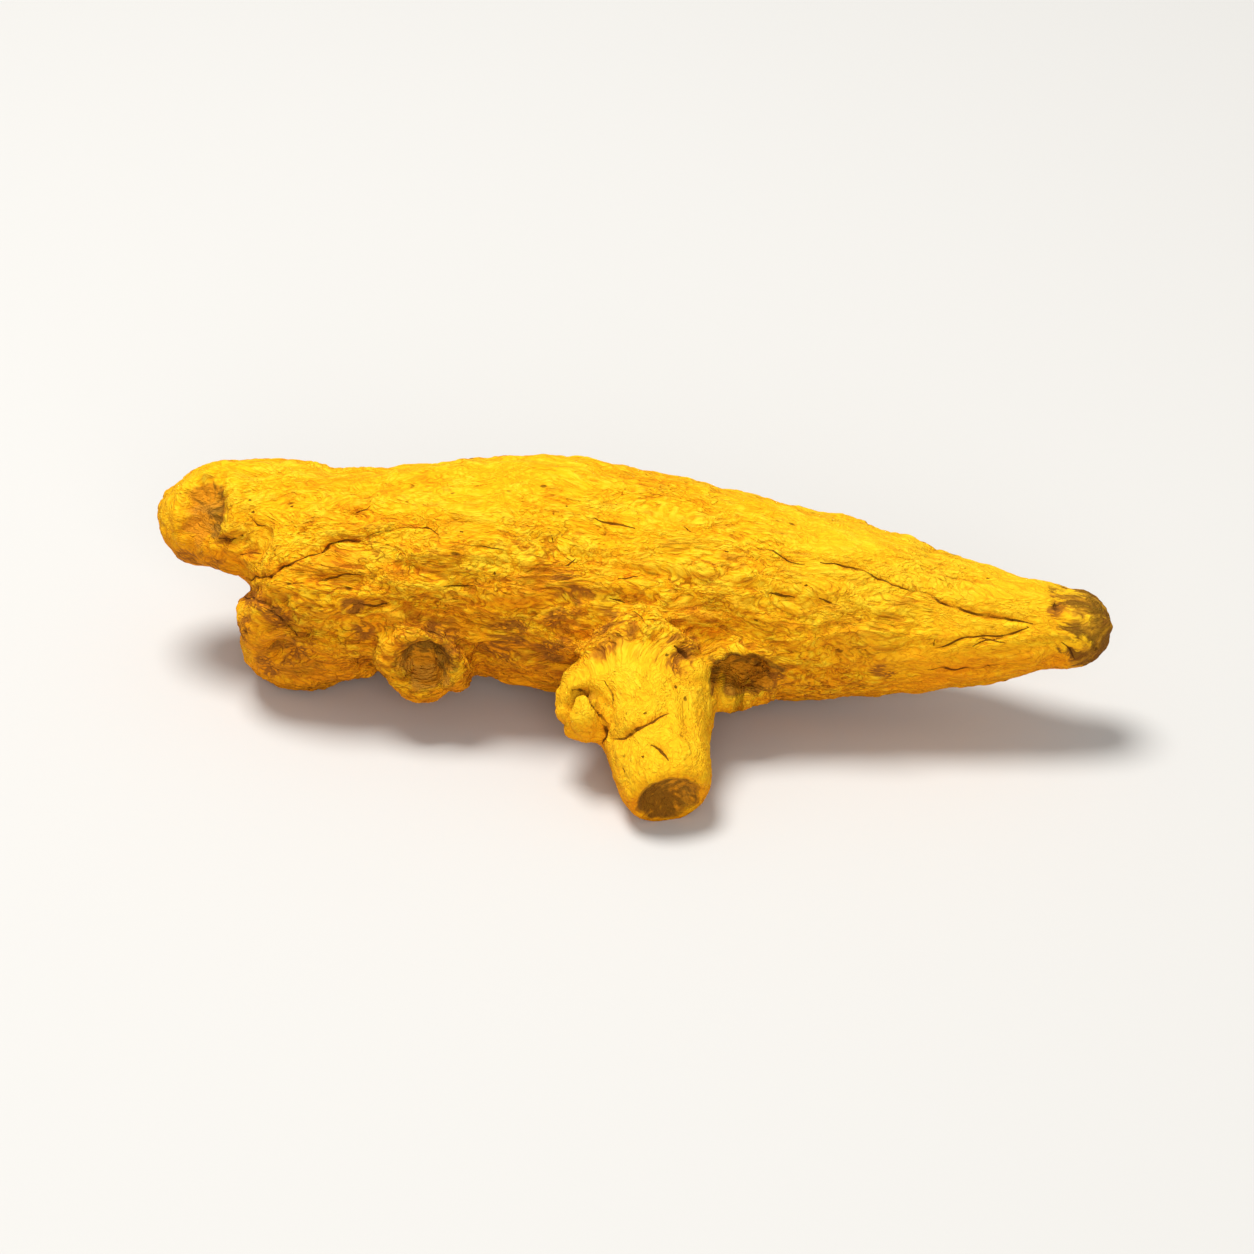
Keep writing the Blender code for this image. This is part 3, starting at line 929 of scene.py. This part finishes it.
# Relief too fine for the mesh. A pair is what smooth skin has and what coarse skin has on top; an edge or
# fades are limits.
fineSkin = {
    "layerScale": 1.5,
    "layers": 7.0,
    "layerEdge": (0.62, 0.98),
    "layerHeight": (0.045, 0.085),
    "smallScale": 3.1,
    "smallHeight": (0.055, 0.095),
    "gritScale": 7.0,
    "gritHeight": (0.025, 0.03),
    "level": 0.45,
    "creaseWidth": (0.14, 0.14),
    "creaseFades": (0.0, 0.7),
    "creaseShare": (0.15, 0.85),
    "smallWidth": 0.3,
    "smallFades": (0.0, 0.8),
    "smallShare": (0.2, 0.8),
    "creaseDark": 0.62,
    "smallDark": 0.34,
    "dashShare": (0.15, 0.95),
}
# Marks on the skin: scale, detail and strength of their noise, which is about 0, and the limits that they
# fade in between.
marks = {
    "broad": (0.16, 2.0, 1.0),
    "patch": (0.8, 3.0, 1.0),
    "flakes": (0.9, 2.0, 1.0, -0.04, 0.1),
    "creases": (0.9, 3.0, 1.0, -0.07, 0.05),
    "cracks": (0.9, 1.0, 1.0, -0.14, 0.0),
    "orange": (0.5, 3.0, 1.0, -0.03, 0.16),
    "tops": (1.2, 2.0, 1.0, -0.05, 0.1),
    "dashes": (1.9, 3.0, 1.0, 0.1, 0.18),
    "dashHalo": (1.9, 3.0, 1.0, 0.0, 0.1),
    "hollows": (1.4, 3.0, 1.0, -0.14, 0.1),
    "soil": (1.1, 3.0, 2.4, 0.4, 0.9),
    "spokes": (1.6, 4.0, 0.5),
    "streaks": (2.6, 3.0, 0.5),
    "scar": (1.1, 3.0, 1.2, 0.25, 0.75),
    "ash": (0.9, 3.0, 1.0, 0.0, 0.12),
    "rim": (1.2, 3.0, 1.8, 0.6, 1.05),
    "tip": (0.9, 4.0, 2.8, 0.3, 0.7),
    "tipPale": (1.3, 4.0, 1.0, -0.08, 0.14),
    "tipSpots": (1.1, 4.0, 1.0, 0.06, 0.14),
}
markShifts = {
    "flakes": (3.7, 1.3, 8.1),
    "creases": (5.9, 4.2, 1.8),
    "cracks": (8.1, 2.7, 5.3),
    "tipSpots": (2.9, 6.6, 0.8),
}
markRoughness = {"tip": 0.6}
# Other limits between which something fades in.
fades = {
    "shade": (0.35, -0.5),
    "tops": (0.7, 1.3),
    "grime": (0.05, 0.3),
    "soilAndShadeLine": (0.1, 0.8),
    "scarEdge": (0.0, 0.3),
    "scarPale": (0.05, 0.22),
    "tipEdge": (0.0, 0.1),
    "tipSpots": (0.05, 0.5),
    "crack": (1.2, 0.5),
    "slitSize": (0.13, 0.05),
    "slitPick": (0.6, 0.64),
}
# How strongly one thing moves another; the level of soil, which is partly painted shade, is its height before
# that.
sway = {
    "lemonOnWarm": 0.75,
    "lemonOnShade": 0.545,
    "underOnOrange": 0.08,
    "coarseForOrange": 0.8,
    "underForOrange": 0.7,
    "underOnTops": -0.1,
    "riseOnHollows": -0.8,
    "soilAndShadeLevel": 0.85,
    "soilAndShadeSmall": 1.1,
    "soilAndShadeCrease": 1.5,
    "soilAndShadeRise": 2.0,
    "paleOnFlesh": 0.3,
    "paleOnRim": 0.4,
    "edgeOnRim": 1.2,
    "tipShare": 0.9,
    "riseOnTip": 1.6,
    "fineOnTip": 3.0,
    "riseOnTipPale": 0.8,
}
dashTimes = (0.6, 1.3, 1.3)  # draws the dashes out along the grain
slitScale = 0.8
slitDark = 0.75
crackLeast = 0.25  # how dark a crack is where it closes
crackDark = 0.85
ashDark = 0.5
# The most that each coat covers what is under it, and its colour; a scar and the tip mix their own.
coats = {
    "warm": (0.4, "warm"),
    "shade": (0.55, "orange"),
    "orange": (0.48, "orange"),
    "lemon": (0.35, "lemon"),
    "tops": (0.45, "dustAndHighlight"),
    "dashHalo": (0.6, "orange"),
    "dashes": (0.55, "fleck"),
    "creases": (1.0, "crease"),
    "hollows": (0.75, "brown"),
    "soilAndShadeHalo": (0.7, "orange"),
    "soil": (0.75, "grime"),
    "scar": (0.9, "scar"),
    "rim": (0.6, "brown"),
    "tip": (0.85, "tip"),
    "tipSpots": (0.7, "brown"),
    "cracks": (1.0, "crack"),
}
# Depth of the marks in the bump, in millimetres.
markDepth = {"dashes": 0.05, "flakeEdge": 0.05, "creases": 0.05, "cracks": 0.1, "slits": 0.08, "streaks": 0.4}
finish = {"roughness": 0.86, "crackShine": 0.1, "gritRoughness": 0.06, "roughest": 0.97, "specular": 0.07}


class SkinPaint(NodeKit):
    # mixes the colour and the bump of the skin

    def __init__(self, tree):
        super().__init__(tree)
        self.grain = self.stored("grain")
        self.shiver = self.warped(self.warped(self.grain, *skinDrift["broad"]), *skinDrift["close"])
        self.quiver = self.warped(self.shiver, *skinDrift["quiver"])
        self.rise = self.number("rise")
        self.coarse = self.number("coarse")
        self.under = self.number("under")
        self.hollow = self.number("hollow")
        self.lemon = self.number("lemon")
        self.scar = self.number("scar")
        self.findRelief()
        self.findCracks()

    def stored(self, name):
        return self.add("ShaderNodeAttribute", {"attribute_name": name}).outputs["Vector"]

    def number(self, name):
        return self.value("ShaderNodeAttribute", {"attribute_name": name}, {}, "Fac")

    def noiseOf(self, name, vector):
        scale, detail, strength = marks[name][:3]
        if name in markShifts:
            vector = self.vectorMath("ADD", vector, markShifts[name])
        return self.spread(vector, scale, detail, markRoughness.get(name, 0.5)) * strength

    def mark(self, name, vector, change=0.0, within=1.0):
        # 0 to 1 where the noise of a mark, kept within some places and changed by a number, passes its limits
        return (self.noiseOf(name, vector) * within + change).between(*marks[name][3:])

    def onSkin(self, name):
        smooth, more = fineSkin[name]
        return smooth + more * self.coarse

    def coat(self, name, where, paint=None):
        most, colour = coats[name]
        self.colour = self.blend(where * most, self.colour, paint or skinColours[colour])

    def findRelief(self):
        # flakes, small wrinkles, grit and the lines of the creases
        layer = self.noise(self.quiver, fineSkin["layerScale"], 2.0).outputs["Fac"]
        layer = (Value(self, layer) * fineSkin["layers"]).math("FRACT")
        flaking = self.mark("flakes", self.shiver)
        torn = layer.between(*fineSkin["layerEdge"]) - layer.between(fineSkin["layerEdge"][1], 1.0)
        self.flakeEdge = torn * flaking * self.coarse
        self.small = self.ridged(self.quiver, fineSkin["smallScale"])
        self.grit = self.ridged(self.quiver, fineSkin["gritScale"])
        small = (self.small - fineSkin["level"]) * self.onSkin("smallHeight")
        grit = (self.grit - fineSkin["level"]) * self.onSkin("gritHeight")
        self.fine = small + grit + (layer - 0.5) * flaking * self.onSkin("layerHeight")
        self.crease = self.ridged(self.shiver, skinRelief["Creases per mm"])
        creased = self.mark("creases", self.shiver)
        line = (1.0 - self.crease / self.onSkin("creaseWidth")).between(*fineSkin["creaseFades"])
        self.creaseLine = line * creased * self.onSkin("creaseShare")
        line = (1.0 - self.small / fineSkin["smallWidth"]).between(*fineSkin["smallFades"])
        self.smallLine = line * (1.0 - creased) * self.onSkin("smallShare")

    def findCracks(self):
        # the thin dark cracks and pits, and short dark slits scattered over the skin
        way = self.warped(self.stored("crackAway"), *skinDrift["crack"])
        away = self.value("ShaderNodeVectorMath", {"operation": "LENGTH"}, {0: way}, "Value")
        gaping = crackLeast + (1.0 - crackLeast) * self.mark("cracks", self.shiver)
        self.dark = away.between(*fades["crack"]) * self.number("crackNear") * gaping
        where = {"Vector": self.warped(self.grain, *skinDrift["slit"]), "Scale": slitScale}
        slit = self.add("ShaderNodeTexVoronoi", {"feature": "F1"}, where)
        pick = self.value("ShaderNodeSeparateXYZ", {}, {0: slit.outputs["Color"]}, 1)
        spot = Value(self, slit.outputs["Distance"]).between(*fades["slitSize"])
        self.slits = spot * pick.between(*fades["slitPick"])

    def paintPlain(self):
        # clean skin: the ramp with its painted light and shade, painted warm shade underneath and on slopes
        # that face down, orange in patches and lemon towards the tip
        parts = {
            "rise": self.rise,
            "fine": self.fine,
            "broad": self.noiseOf("broad", self.grain),
            "patch": self.noiseOf("patch", self.shiver),
            "coarse": self.coarse,
            "flakeEdge": self.flakeEdge,
            "under": self.under * self.under,
            "hollow": self.hollow,
        }
        tone = sum(part * skinTone[name] for name, part in parts.items()) + skinTone["plain"]
        stops = [(place, skinColours[name]) for place, name in toneStops]
        self.colour = self.add("ShaderNodeValToRGB", {"stops": stops}, {0: tone}).outputs["Color"]
        # painted warm shade where the skin faces down, partly the underside's own orange
        self.coat("warm", self.under * (1.0 - self.lemon * sway["lemonOnWarm"]))
        shade = self.number("level").between(*fades["shade"])
        self.coat("shade", shade * (1.0 - self.lemon * sway["lemonOnShade"]))
        # orange patches, with more orange where the skin faces down as painted warm shade
        orange = self.mark("orange", self.shiver, self.under * sway["underOnOrange"])
        room = self.coarse * sway["coarseForOrange"] + self.under * sway["underForOrange"]
        self.coat("orange", orange * room.atMost(1.0))
        self.coat("lemon", self.lemon * (1.0 - self.under))
        # light tops of the small ridges on coarse skin: painted highlight, partly dust
        tops = self.mark("tops", self.shiver, self.under * sway["underOnTops"])
        self.coat("tops", tops * self.small.between(*fades["tops"]) * self.coarse)

    def paintWeather(self):
        # dashes along the grain, creases, brown hollows with painted shade, and soil left in the valleys,
        # partly painted shade under the neck and on the shoulder
        drawn = self.vectorMath("MULTIPLY", self.quiver, dashTimes)
        self.dashes = self.mark("dashes", drawn) * self.onSkin("dashShare").atMost(1.0)
        self.coat("dashHalo", self.mark("dashHalo", drawn) * self.coarse)
        self.coat("dashes", self.dashes)
        # darker lines in the valleys of the creases and small wrinkles: partly painted shade, partly brown
        # creases
        creases = self.creaseLine * fineSkin["creaseDark"]
        self.coat("creases", creases + self.smallLine * fineSkin["smallDark"])
        # brown in the dents, more where they lie lower: painted shade, partly brown skin
        hollows = self.mark("hollows", self.quiver, self.rise * sway["riseOnHollows"])
        self.coat("hollows", self.hollow * hollows)
        # soil in the valleys where the grime lies; under the neck and on the shoulder it is painted shade
        grime = self.number("grime")
        soil = self.mark("soil", self.shiver, grime) * grime.between(*fades["grime"])
        ridge = self.crease.atMost(self.small * sway["soilAndShadeSmall"])
        valley = sway["soilAndShadeLevel"] - ridge * sway["soilAndShadeCrease"] - self.rise * sway["soilAndShadeRise"]
        self.coat("soilAndShadeHalo", soil)
        self.coat("soil", soil * valley.between(*fades["soilAndShadeLine"]))

    def paintScars(self):
        # brown and pale flesh where something broke off, with a dark edge that is painted shadow, partly
        # brown
        self.streaks = self.noiseOf("spokes", self.stored("scarSpot")) + self.noiseOf("streaks", self.shiver)
        pale = self.number("scarPale")
        paler = (self.streaks + pale * sway["paleOnFlesh"]).between(*fades["scarPale"])
        flesh = self.blend(paler, skinColours["scar"], skinColours["scarPale"])
        flesh = self.blend(self.mark("ash", self.shiver) * pale * ashDark, flesh, skinColours["ash"])
        bare = self.mark("scar", self.quiver, self.scar, self.scar.between(*fades["scarEdge"]))
        self.coat("scar", bare, flesh)
        rim = self.mark("rim", self.quiver, self.number("scarEdge") * sway["edgeOnRim"])
        self.coat("rim", rim * (1.0 - pale * sway["paleOnRim"]))

    def paintTip(self):
        # the stained tip and the spots near it
        tip = self.number("tip")
        change = tip * sway["tipShare"] - self.rise * sway["riseOnTip"] - self.fine * sway["fineOnTip"]
        stained = self.mark("tip", self.shiver, change)
        paler = self.mark("tipPale", self.quiver, self.rise * sway["riseOnTipPale"])
        stain = self.blend(paler, skinColours["tip"], skinColours["tipPale"])
        self.coat("tip", stained * tip.between(*fades["tipEdge"]), stain)
        self.coat("tipSpots", self.mark("tipSpots", self.shiver) * tip.between(*fades["tipSpots"]))

    def paintCracks(self):
        self.coat("cracks", (self.slits * slitDark).atLeast(self.dark * crackDark))

    def relief(self):
        # the height for the bump, in millimetres
        cut = self.dashes * markDepth["dashes"] + self.flakeEdge * markDepth["flakeEdge"]
        cut = cut + self.creaseLine * markDepth["creases"] + self.dark * markDepth["cracks"]
        cut = cut + self.slits * markDepth["slits"]
        return self.fine - cut + self.streaks * self.scar * markDepth["streaks"]


def skinMaterial():
    material = bpy.data.materials.new("dried turmeric skin")
    material.use_nodes = True
    skin = material.node_tree.nodes["Principled BSDF"]
    paint = SkinPaint(material.node_tree)
    paint.paintPlain()
    paint.paintWeather()
    paint.paintScars()
    paint.paintTip()
    paint.paintCracks()
    rough = finish["roughness"] - paint.dark * finish["crackShine"] + paint.grit * finish["gritRoughness"]
    bump = {"Strength": 1.0, "Distance": mm, "Height": paint.relief()}
    paint.plug(skin.inputs["Base Color"], paint.colour)
    paint.plug(skin.inputs["Roughness"], rough.atMost(finish["roughest"]))
    paint.plug(skin.inputs["Normal"], paint.add("ShaderNodeBump", {}, bump).outputs["Normal"])
    skin.inputs["Metallic"].default_value = 0.0
    skin.inputs["Specular IOR Level"].default_value = finish["specular"]
    return material


# Ragged remains of scale leaves round the foot of the shoot and above the knob; at is (x, z).
collars = [
    {"at": (1.9, -7.0), "from": 2.4, "to": 5.4, "above": (-7.2, -5.2), "height": 0.3, "fibres": 3.4},
    {"at": (-12.2, -7.0), "from": 1.7, "to": 4.3, "above": (-6.8, -5.4), "height": 0.26, "fibres": 2.6},
]
collarShape = {"fadeIn": 1.0, "fadeOut": 1.2, "along": 0.15, "level": 0.25}
# Where things change over the root, and by how much.
skinPlaces = {
    "facing": 0.15,
    "budFades": 1.2,
    "budFront": (-4.0, -5.2),
    "under": (0.85, -0.5),
    "low": (0.4, -0.5),
    "scarCalm": 0.75,
    "restCalm": 0.6,
    "lowCalm": 0.45,
    "lemonFrom": (4.0, 18.0),
    "lemonMost": 0.8,
    "tipFrom": (27.6, 31.2),
    "tipLean": 0.25,
}
# The colours and fibres of a scar, in shares of its radius.
scarMarks = {
    "within": 1.8,
    "raggedTimes": 2.2,
    "edge": (0.95, 1.05),
    "fadeOver": (-0.1, 0.45),
    "rimAt": 0.93,
    "rimWidth": 0.13,
    "rimFade": 1.6,
    "spokesFrom": 0.2,
    "spokes": 1.9,
    "spokeAlong": 0.5,
    "apart": 7.0,
    "fibreTimes": 2.4,
    "fibresFrom": (0.1, 0.4),
    "fibresTo": (0.9, 1.5),
}


def keepScars(mesh, places):
    # keeps what the paint needs to know of the scars, and gives the height of their fibres
    scarred = np.zeros(len(places))
    edged = np.zeros(len(places))
    pale = np.zeros(len(places))
    spot = np.zeros((len(places), 3))
    fibrous = np.zeros(len(places))
    shape = scarMarks
    for order, scar in enumerate(scars.values()):
        distance, angle, lift = scarSpotAt(places, scar)
        near = (np.abs(lift) <= scarShape["reach"]) & (distance < shape["within"])
        turned = np.column_stack([np.cos(angle), np.sin(angle)])
        around = np.column_stack([turned, np.zeros(len(places))]) * shape["raggedTimes"] + order
        ragged = distance + scar["ragged"] * noiseAt(around, 1.0)
        cover = near * (1.0 - smoothStep(shape["edge"][0] - scar["soft"], shape["edge"][1], ragged))
        # paler towards paleTo; on the knob and the shoot's end the darker side is painted shade
        toPale = distance * (turned @ scar["paleTo"])
        cover = cover * (1.0 - scar["fade"] * smoothStep(*shape["fadeOver"], toPale))
        pale = np.where(cover * scar["stain"] > scarred, np.clip(scar["pale"] + toPale, 0.0, 1.0), pale)
        scarred = np.maximum(scarred, cover * scar["stain"])
        # the dark ring at a scar's edge: painted shadow, partly brown
        edge = near * scar["stain"] * np.exp(-(((ragged - shape["rimAt"]) / shape["rimWidth"]) ** 2))
        edged = np.maximum(edged, edge * (1.0 - shape["rimFade"] * scar["fade"]))
        spoke = scar["fibres"] > shape["spokesFrom"]
        radial = np.column_stack([
            turned * (shape["spokes"] if spoke else scar["radius"] * distance[:, None]),
            distance * (shape["spokeAlong"] if spoke else 0.0) + order * shape["apart"],
        ])
        spot[near] = radial[near]
        rays = scar["fibres"] * noiseAt(radial * shape["fibreTimes"], 1.0)
        rays *= smoothStep(*shape["fibresFrom"], distance) * (1.0 - smoothStep(*shape["fibresTo"], distance))
        fibrous += near * rays
    keep(mesh, {"scar": scarred, "scarEdge": edged, "scarPale": pale, "scarSpot": spot})
    return fibrous


def collarFringes(places, facing):
    height = np.zeros(len(places))
    for collar in collars:
        aside = places[:, 0] - collar["at"][0]
        upward = places[:, 2] - collar["at"][1]
        around = np.arctan2(upward, aside)
        away = np.hypot(upward, aside)
        fringe = facing * smoothStep(collar["from"], collar["from"] + collarShape["fadeIn"], away)
        fringe = fringe * (1.0 - smoothStep(collar["to"] - collarShape["fadeOut"], collar["to"], away))
        fringe = fringe * smoothStep(*collar["above"], places[:, 2])
        turned = np.column_stack([np.cos(around), np.sin(around), away * collarShape["along"]])
        rays = np.abs(noiseAt(turned * collar["fibres"], 1.0))
        height += collar["height"] * fringe * (rays - collarShape["level"]) * 2.0
    return height


def budShareAt(places, facing):
    bud = nearShape["bud"]
    away = np.hypot(places[:, 0] - bud[0], places[:, 2] - bud[1])
    near = smoothStep(nearShape["budReach"], nearShape["budReach"] - skinPlaces["budFades"], away)
    return facing * near * smoothStep(*skinPlaces["budFront"], places[:, 1])


def skinAttributes(mesh, places, normals, onShoot):
    # what the fine relief and the colours need to know of each point
    facing = normals[:, 1] < skinPlaces["facing"]
    onShoot = np.maximum(onShoot, budShareAt(places, facing))
    bodyGrain = squeezed(places, bodyAxis, grainTimes["body"])
    shootGrain = squeezed(places, shootAxis, grainTimes["shoot"])
    rising = normals @ np.array(upwardAsGrown())
    calm = 1.0 - skinPlaces["scarCalm"] * (1.0 - scarsAt(places)[1])
    calm *= 1.0 - skinPlaces["restCalm"] * (1.0 - awayFromRest(places))
    calm *= 1.0 - skinPlaces["lowCalm"] * smoothStep(*skinPlaces["low"], rising)
    lemon = smoothStep(*skinPlaces["lemonFrom"], places[:, 0]) * skinPlaces["lemonMost"]
    away, near, groove = crackFields(mesh, places, normals, onShoot)
    keep(mesh, {
        "grain": bodyGrain + onShoot[:, None] * (shootGrain - bodyGrain),
        "coarse": coarseAt(places, onShoot),
        # how much the skin faces down, for the painted shade underneath
        "under": smoothStep(*skinPlaces["under"], rising),
        "calm": calm,
        "lemon": np.clip(lemon + onShoot, 0.0, 1.0),
        "crackAway": away,
        "crackNear": near,
        "groove": groove,
        "grime": grimeAndShadeAt(places, facing),
        "tip": smoothStep(*skinPlaces["tipFrom"], places[:, 0] + skinPlaces["tipLean"] * places[:, 2]),
        "fibrous": keepScars(mesh, places) + collarFringes(places, facing),
    })


def layDown(mesh):
    turn = Matrix.Rotation(lie["pitch"], 4, "Y") @ Matrix.Rotation(lie["roll"], 4, "X")
    mesh.transform(Matrix.Translation(-Vector(lie["middle"]) * mm) @ turn)
    points = pointsOf(mesh)
    points[:, 2] = np.maximum(points[:, 2], 0.0)
    movePoints(mesh, points)


def makeRoot():
    root = grownRoot()
    report(f"limbs grown together: {len(root.data.vertices)} points")
    places = pointsOf(root.data) / mm
    onShoot = shootShareAt(places)
    broadNormals = normalsOf(root.data)
    near = smoothStep(*nearShape["facing"], broadNormals[:, 1])
    height, hollow = nearRelief(places, near)
    places = places + broadNormals * (height + broadRelief(places, onShoot))[:, None]
    movePoints(root.data, places * mm)
    # how deep in a dent each point is, for the painted shade and brown in the dents
    keep(root.data, {"hollow": hollow})
    report("lumps, folds, rings and scars")
    skinAttributes(root.data, places, broadNormals, shootShareAt(places))
    report("cracks, scars and stains placed")
    tree = skinTree()
    material = skinMaterial()
    relief = root.modifiers.new("dried skin", "NODES")
    relief.node_group = tree
    sockets = {item.name: item.identifier for item in tree.interface.items_tree if item.in_out == "INPUT"}
    for name, amount in skinRelief.items():
        relief[sockets[name]] = amount
    relief[sockets["Material"]] = material
    settle(root)
    layDown(root.data)
    root.data.shade_smooth()
    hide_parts("turmeric_root")
    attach(root, "root")
    report(f"skin dried: {len(root.data.polygons)} faces")
    return root


studio = {
    "floorColour": (0.62, 0.62, 0.61),
    "floorSize": 3.0,
    "floorRoughness": 0.9,
    "floorSpecular": 0.1,
    "air": (1.0, 0.985, 0.965),
    "airStrength": 0.4,
    "lens": 150.0,
    "clip": (0.01, 10.0),
    "distance": 0.342,
    "azimuth": 8.0,
    "elevation": 32.5,
    "lookAt": (0.0005, 0.0, 0.0072),
}
lamps = {
    "overhead": {"from": (-0.10, 0.05, 0.42), "size": 0.2, "power": 2.0, "colour": (1.0, 0.975, 0.94)},
    "front": {"from": (0.10, -0.45, 0.22), "size": 0.3, "power": 1.05, "colour": (1.0, 0.98, 0.95)},
}


def makeStudio():
    floorMesh = bpy.data.meshes.new("floor")
    floorShape = bmesh.new()
    bmesh.ops.create_grid(floorShape, x_segments=1, y_segments=1, size=studio["floorSize"] / 2)
    floorShape.to_mesh(floorMesh)
    floorShape.free()
    floor = placed("floor", floorMesh)
    paint = bpy.data.materials.new("pale floor")
    paint.use_nodes = True
    surface = paint.node_tree.nodes["Principled BSDF"]
    surface.inputs["Base Color"].default_value = (*studio["floorColour"], 1.0)
    surface.inputs["Roughness"].default_value = studio["floorRoughness"]
    surface.inputs["Specular IOR Level"].default_value = studio["floorSpecular"]
    floorMesh.materials.append(paint)

    world = bpy.data.worlds.new("studio air")
    world.use_nodes = True
    air = world.node_tree.nodes["Background"]
    air.inputs["Color"].default_value = (*studio["air"], 1.0)
    air.inputs["Strength"].default_value = studio["airStrength"]
    bpy.context.scene.world = world

    target = Vector(studio["lookAt"])
    for name, lamp in lamps.items():
        light = bpy.data.lights.new(name, "AREA")
        light.shape = "DISK"
        light.size = lamp["size"]
        light.energy = lamp["power"]
        light.color = lamp["colour"]
        holder = placed(name, light)
        holder.location = lamp["from"]
        holder.rotation_euler = (target - holder.location).to_track_quat("-Z", "Y").to_euler()

    camera = bpy.data.cameras.new("camera")
    camera.lens = studio["lens"]
    camera.clip_start, camera.clip_end = studio["clip"]
    holder = placed("camera", camera)
    azimuth = math.radians(studio["azimuth"])
    elevation = math.radians(studio["elevation"])
    away = Vector((
        math.sin(azimuth) * math.cos(elevation),
        -math.cos(azimuth) * math.cos(elevation),
        math.sin(elevation),
    ))
    holder.location = target + studio["distance"] * away
    holder.rotation_euler = (-away).to_track_quat("-Z", "Y").to_euler()
    bpy.context.scene.camera = holder
    bpy.context.scene.view_settings.view_transform = "Standard"
    report("floor, light and camera")


makeRoot()
makeStudio()
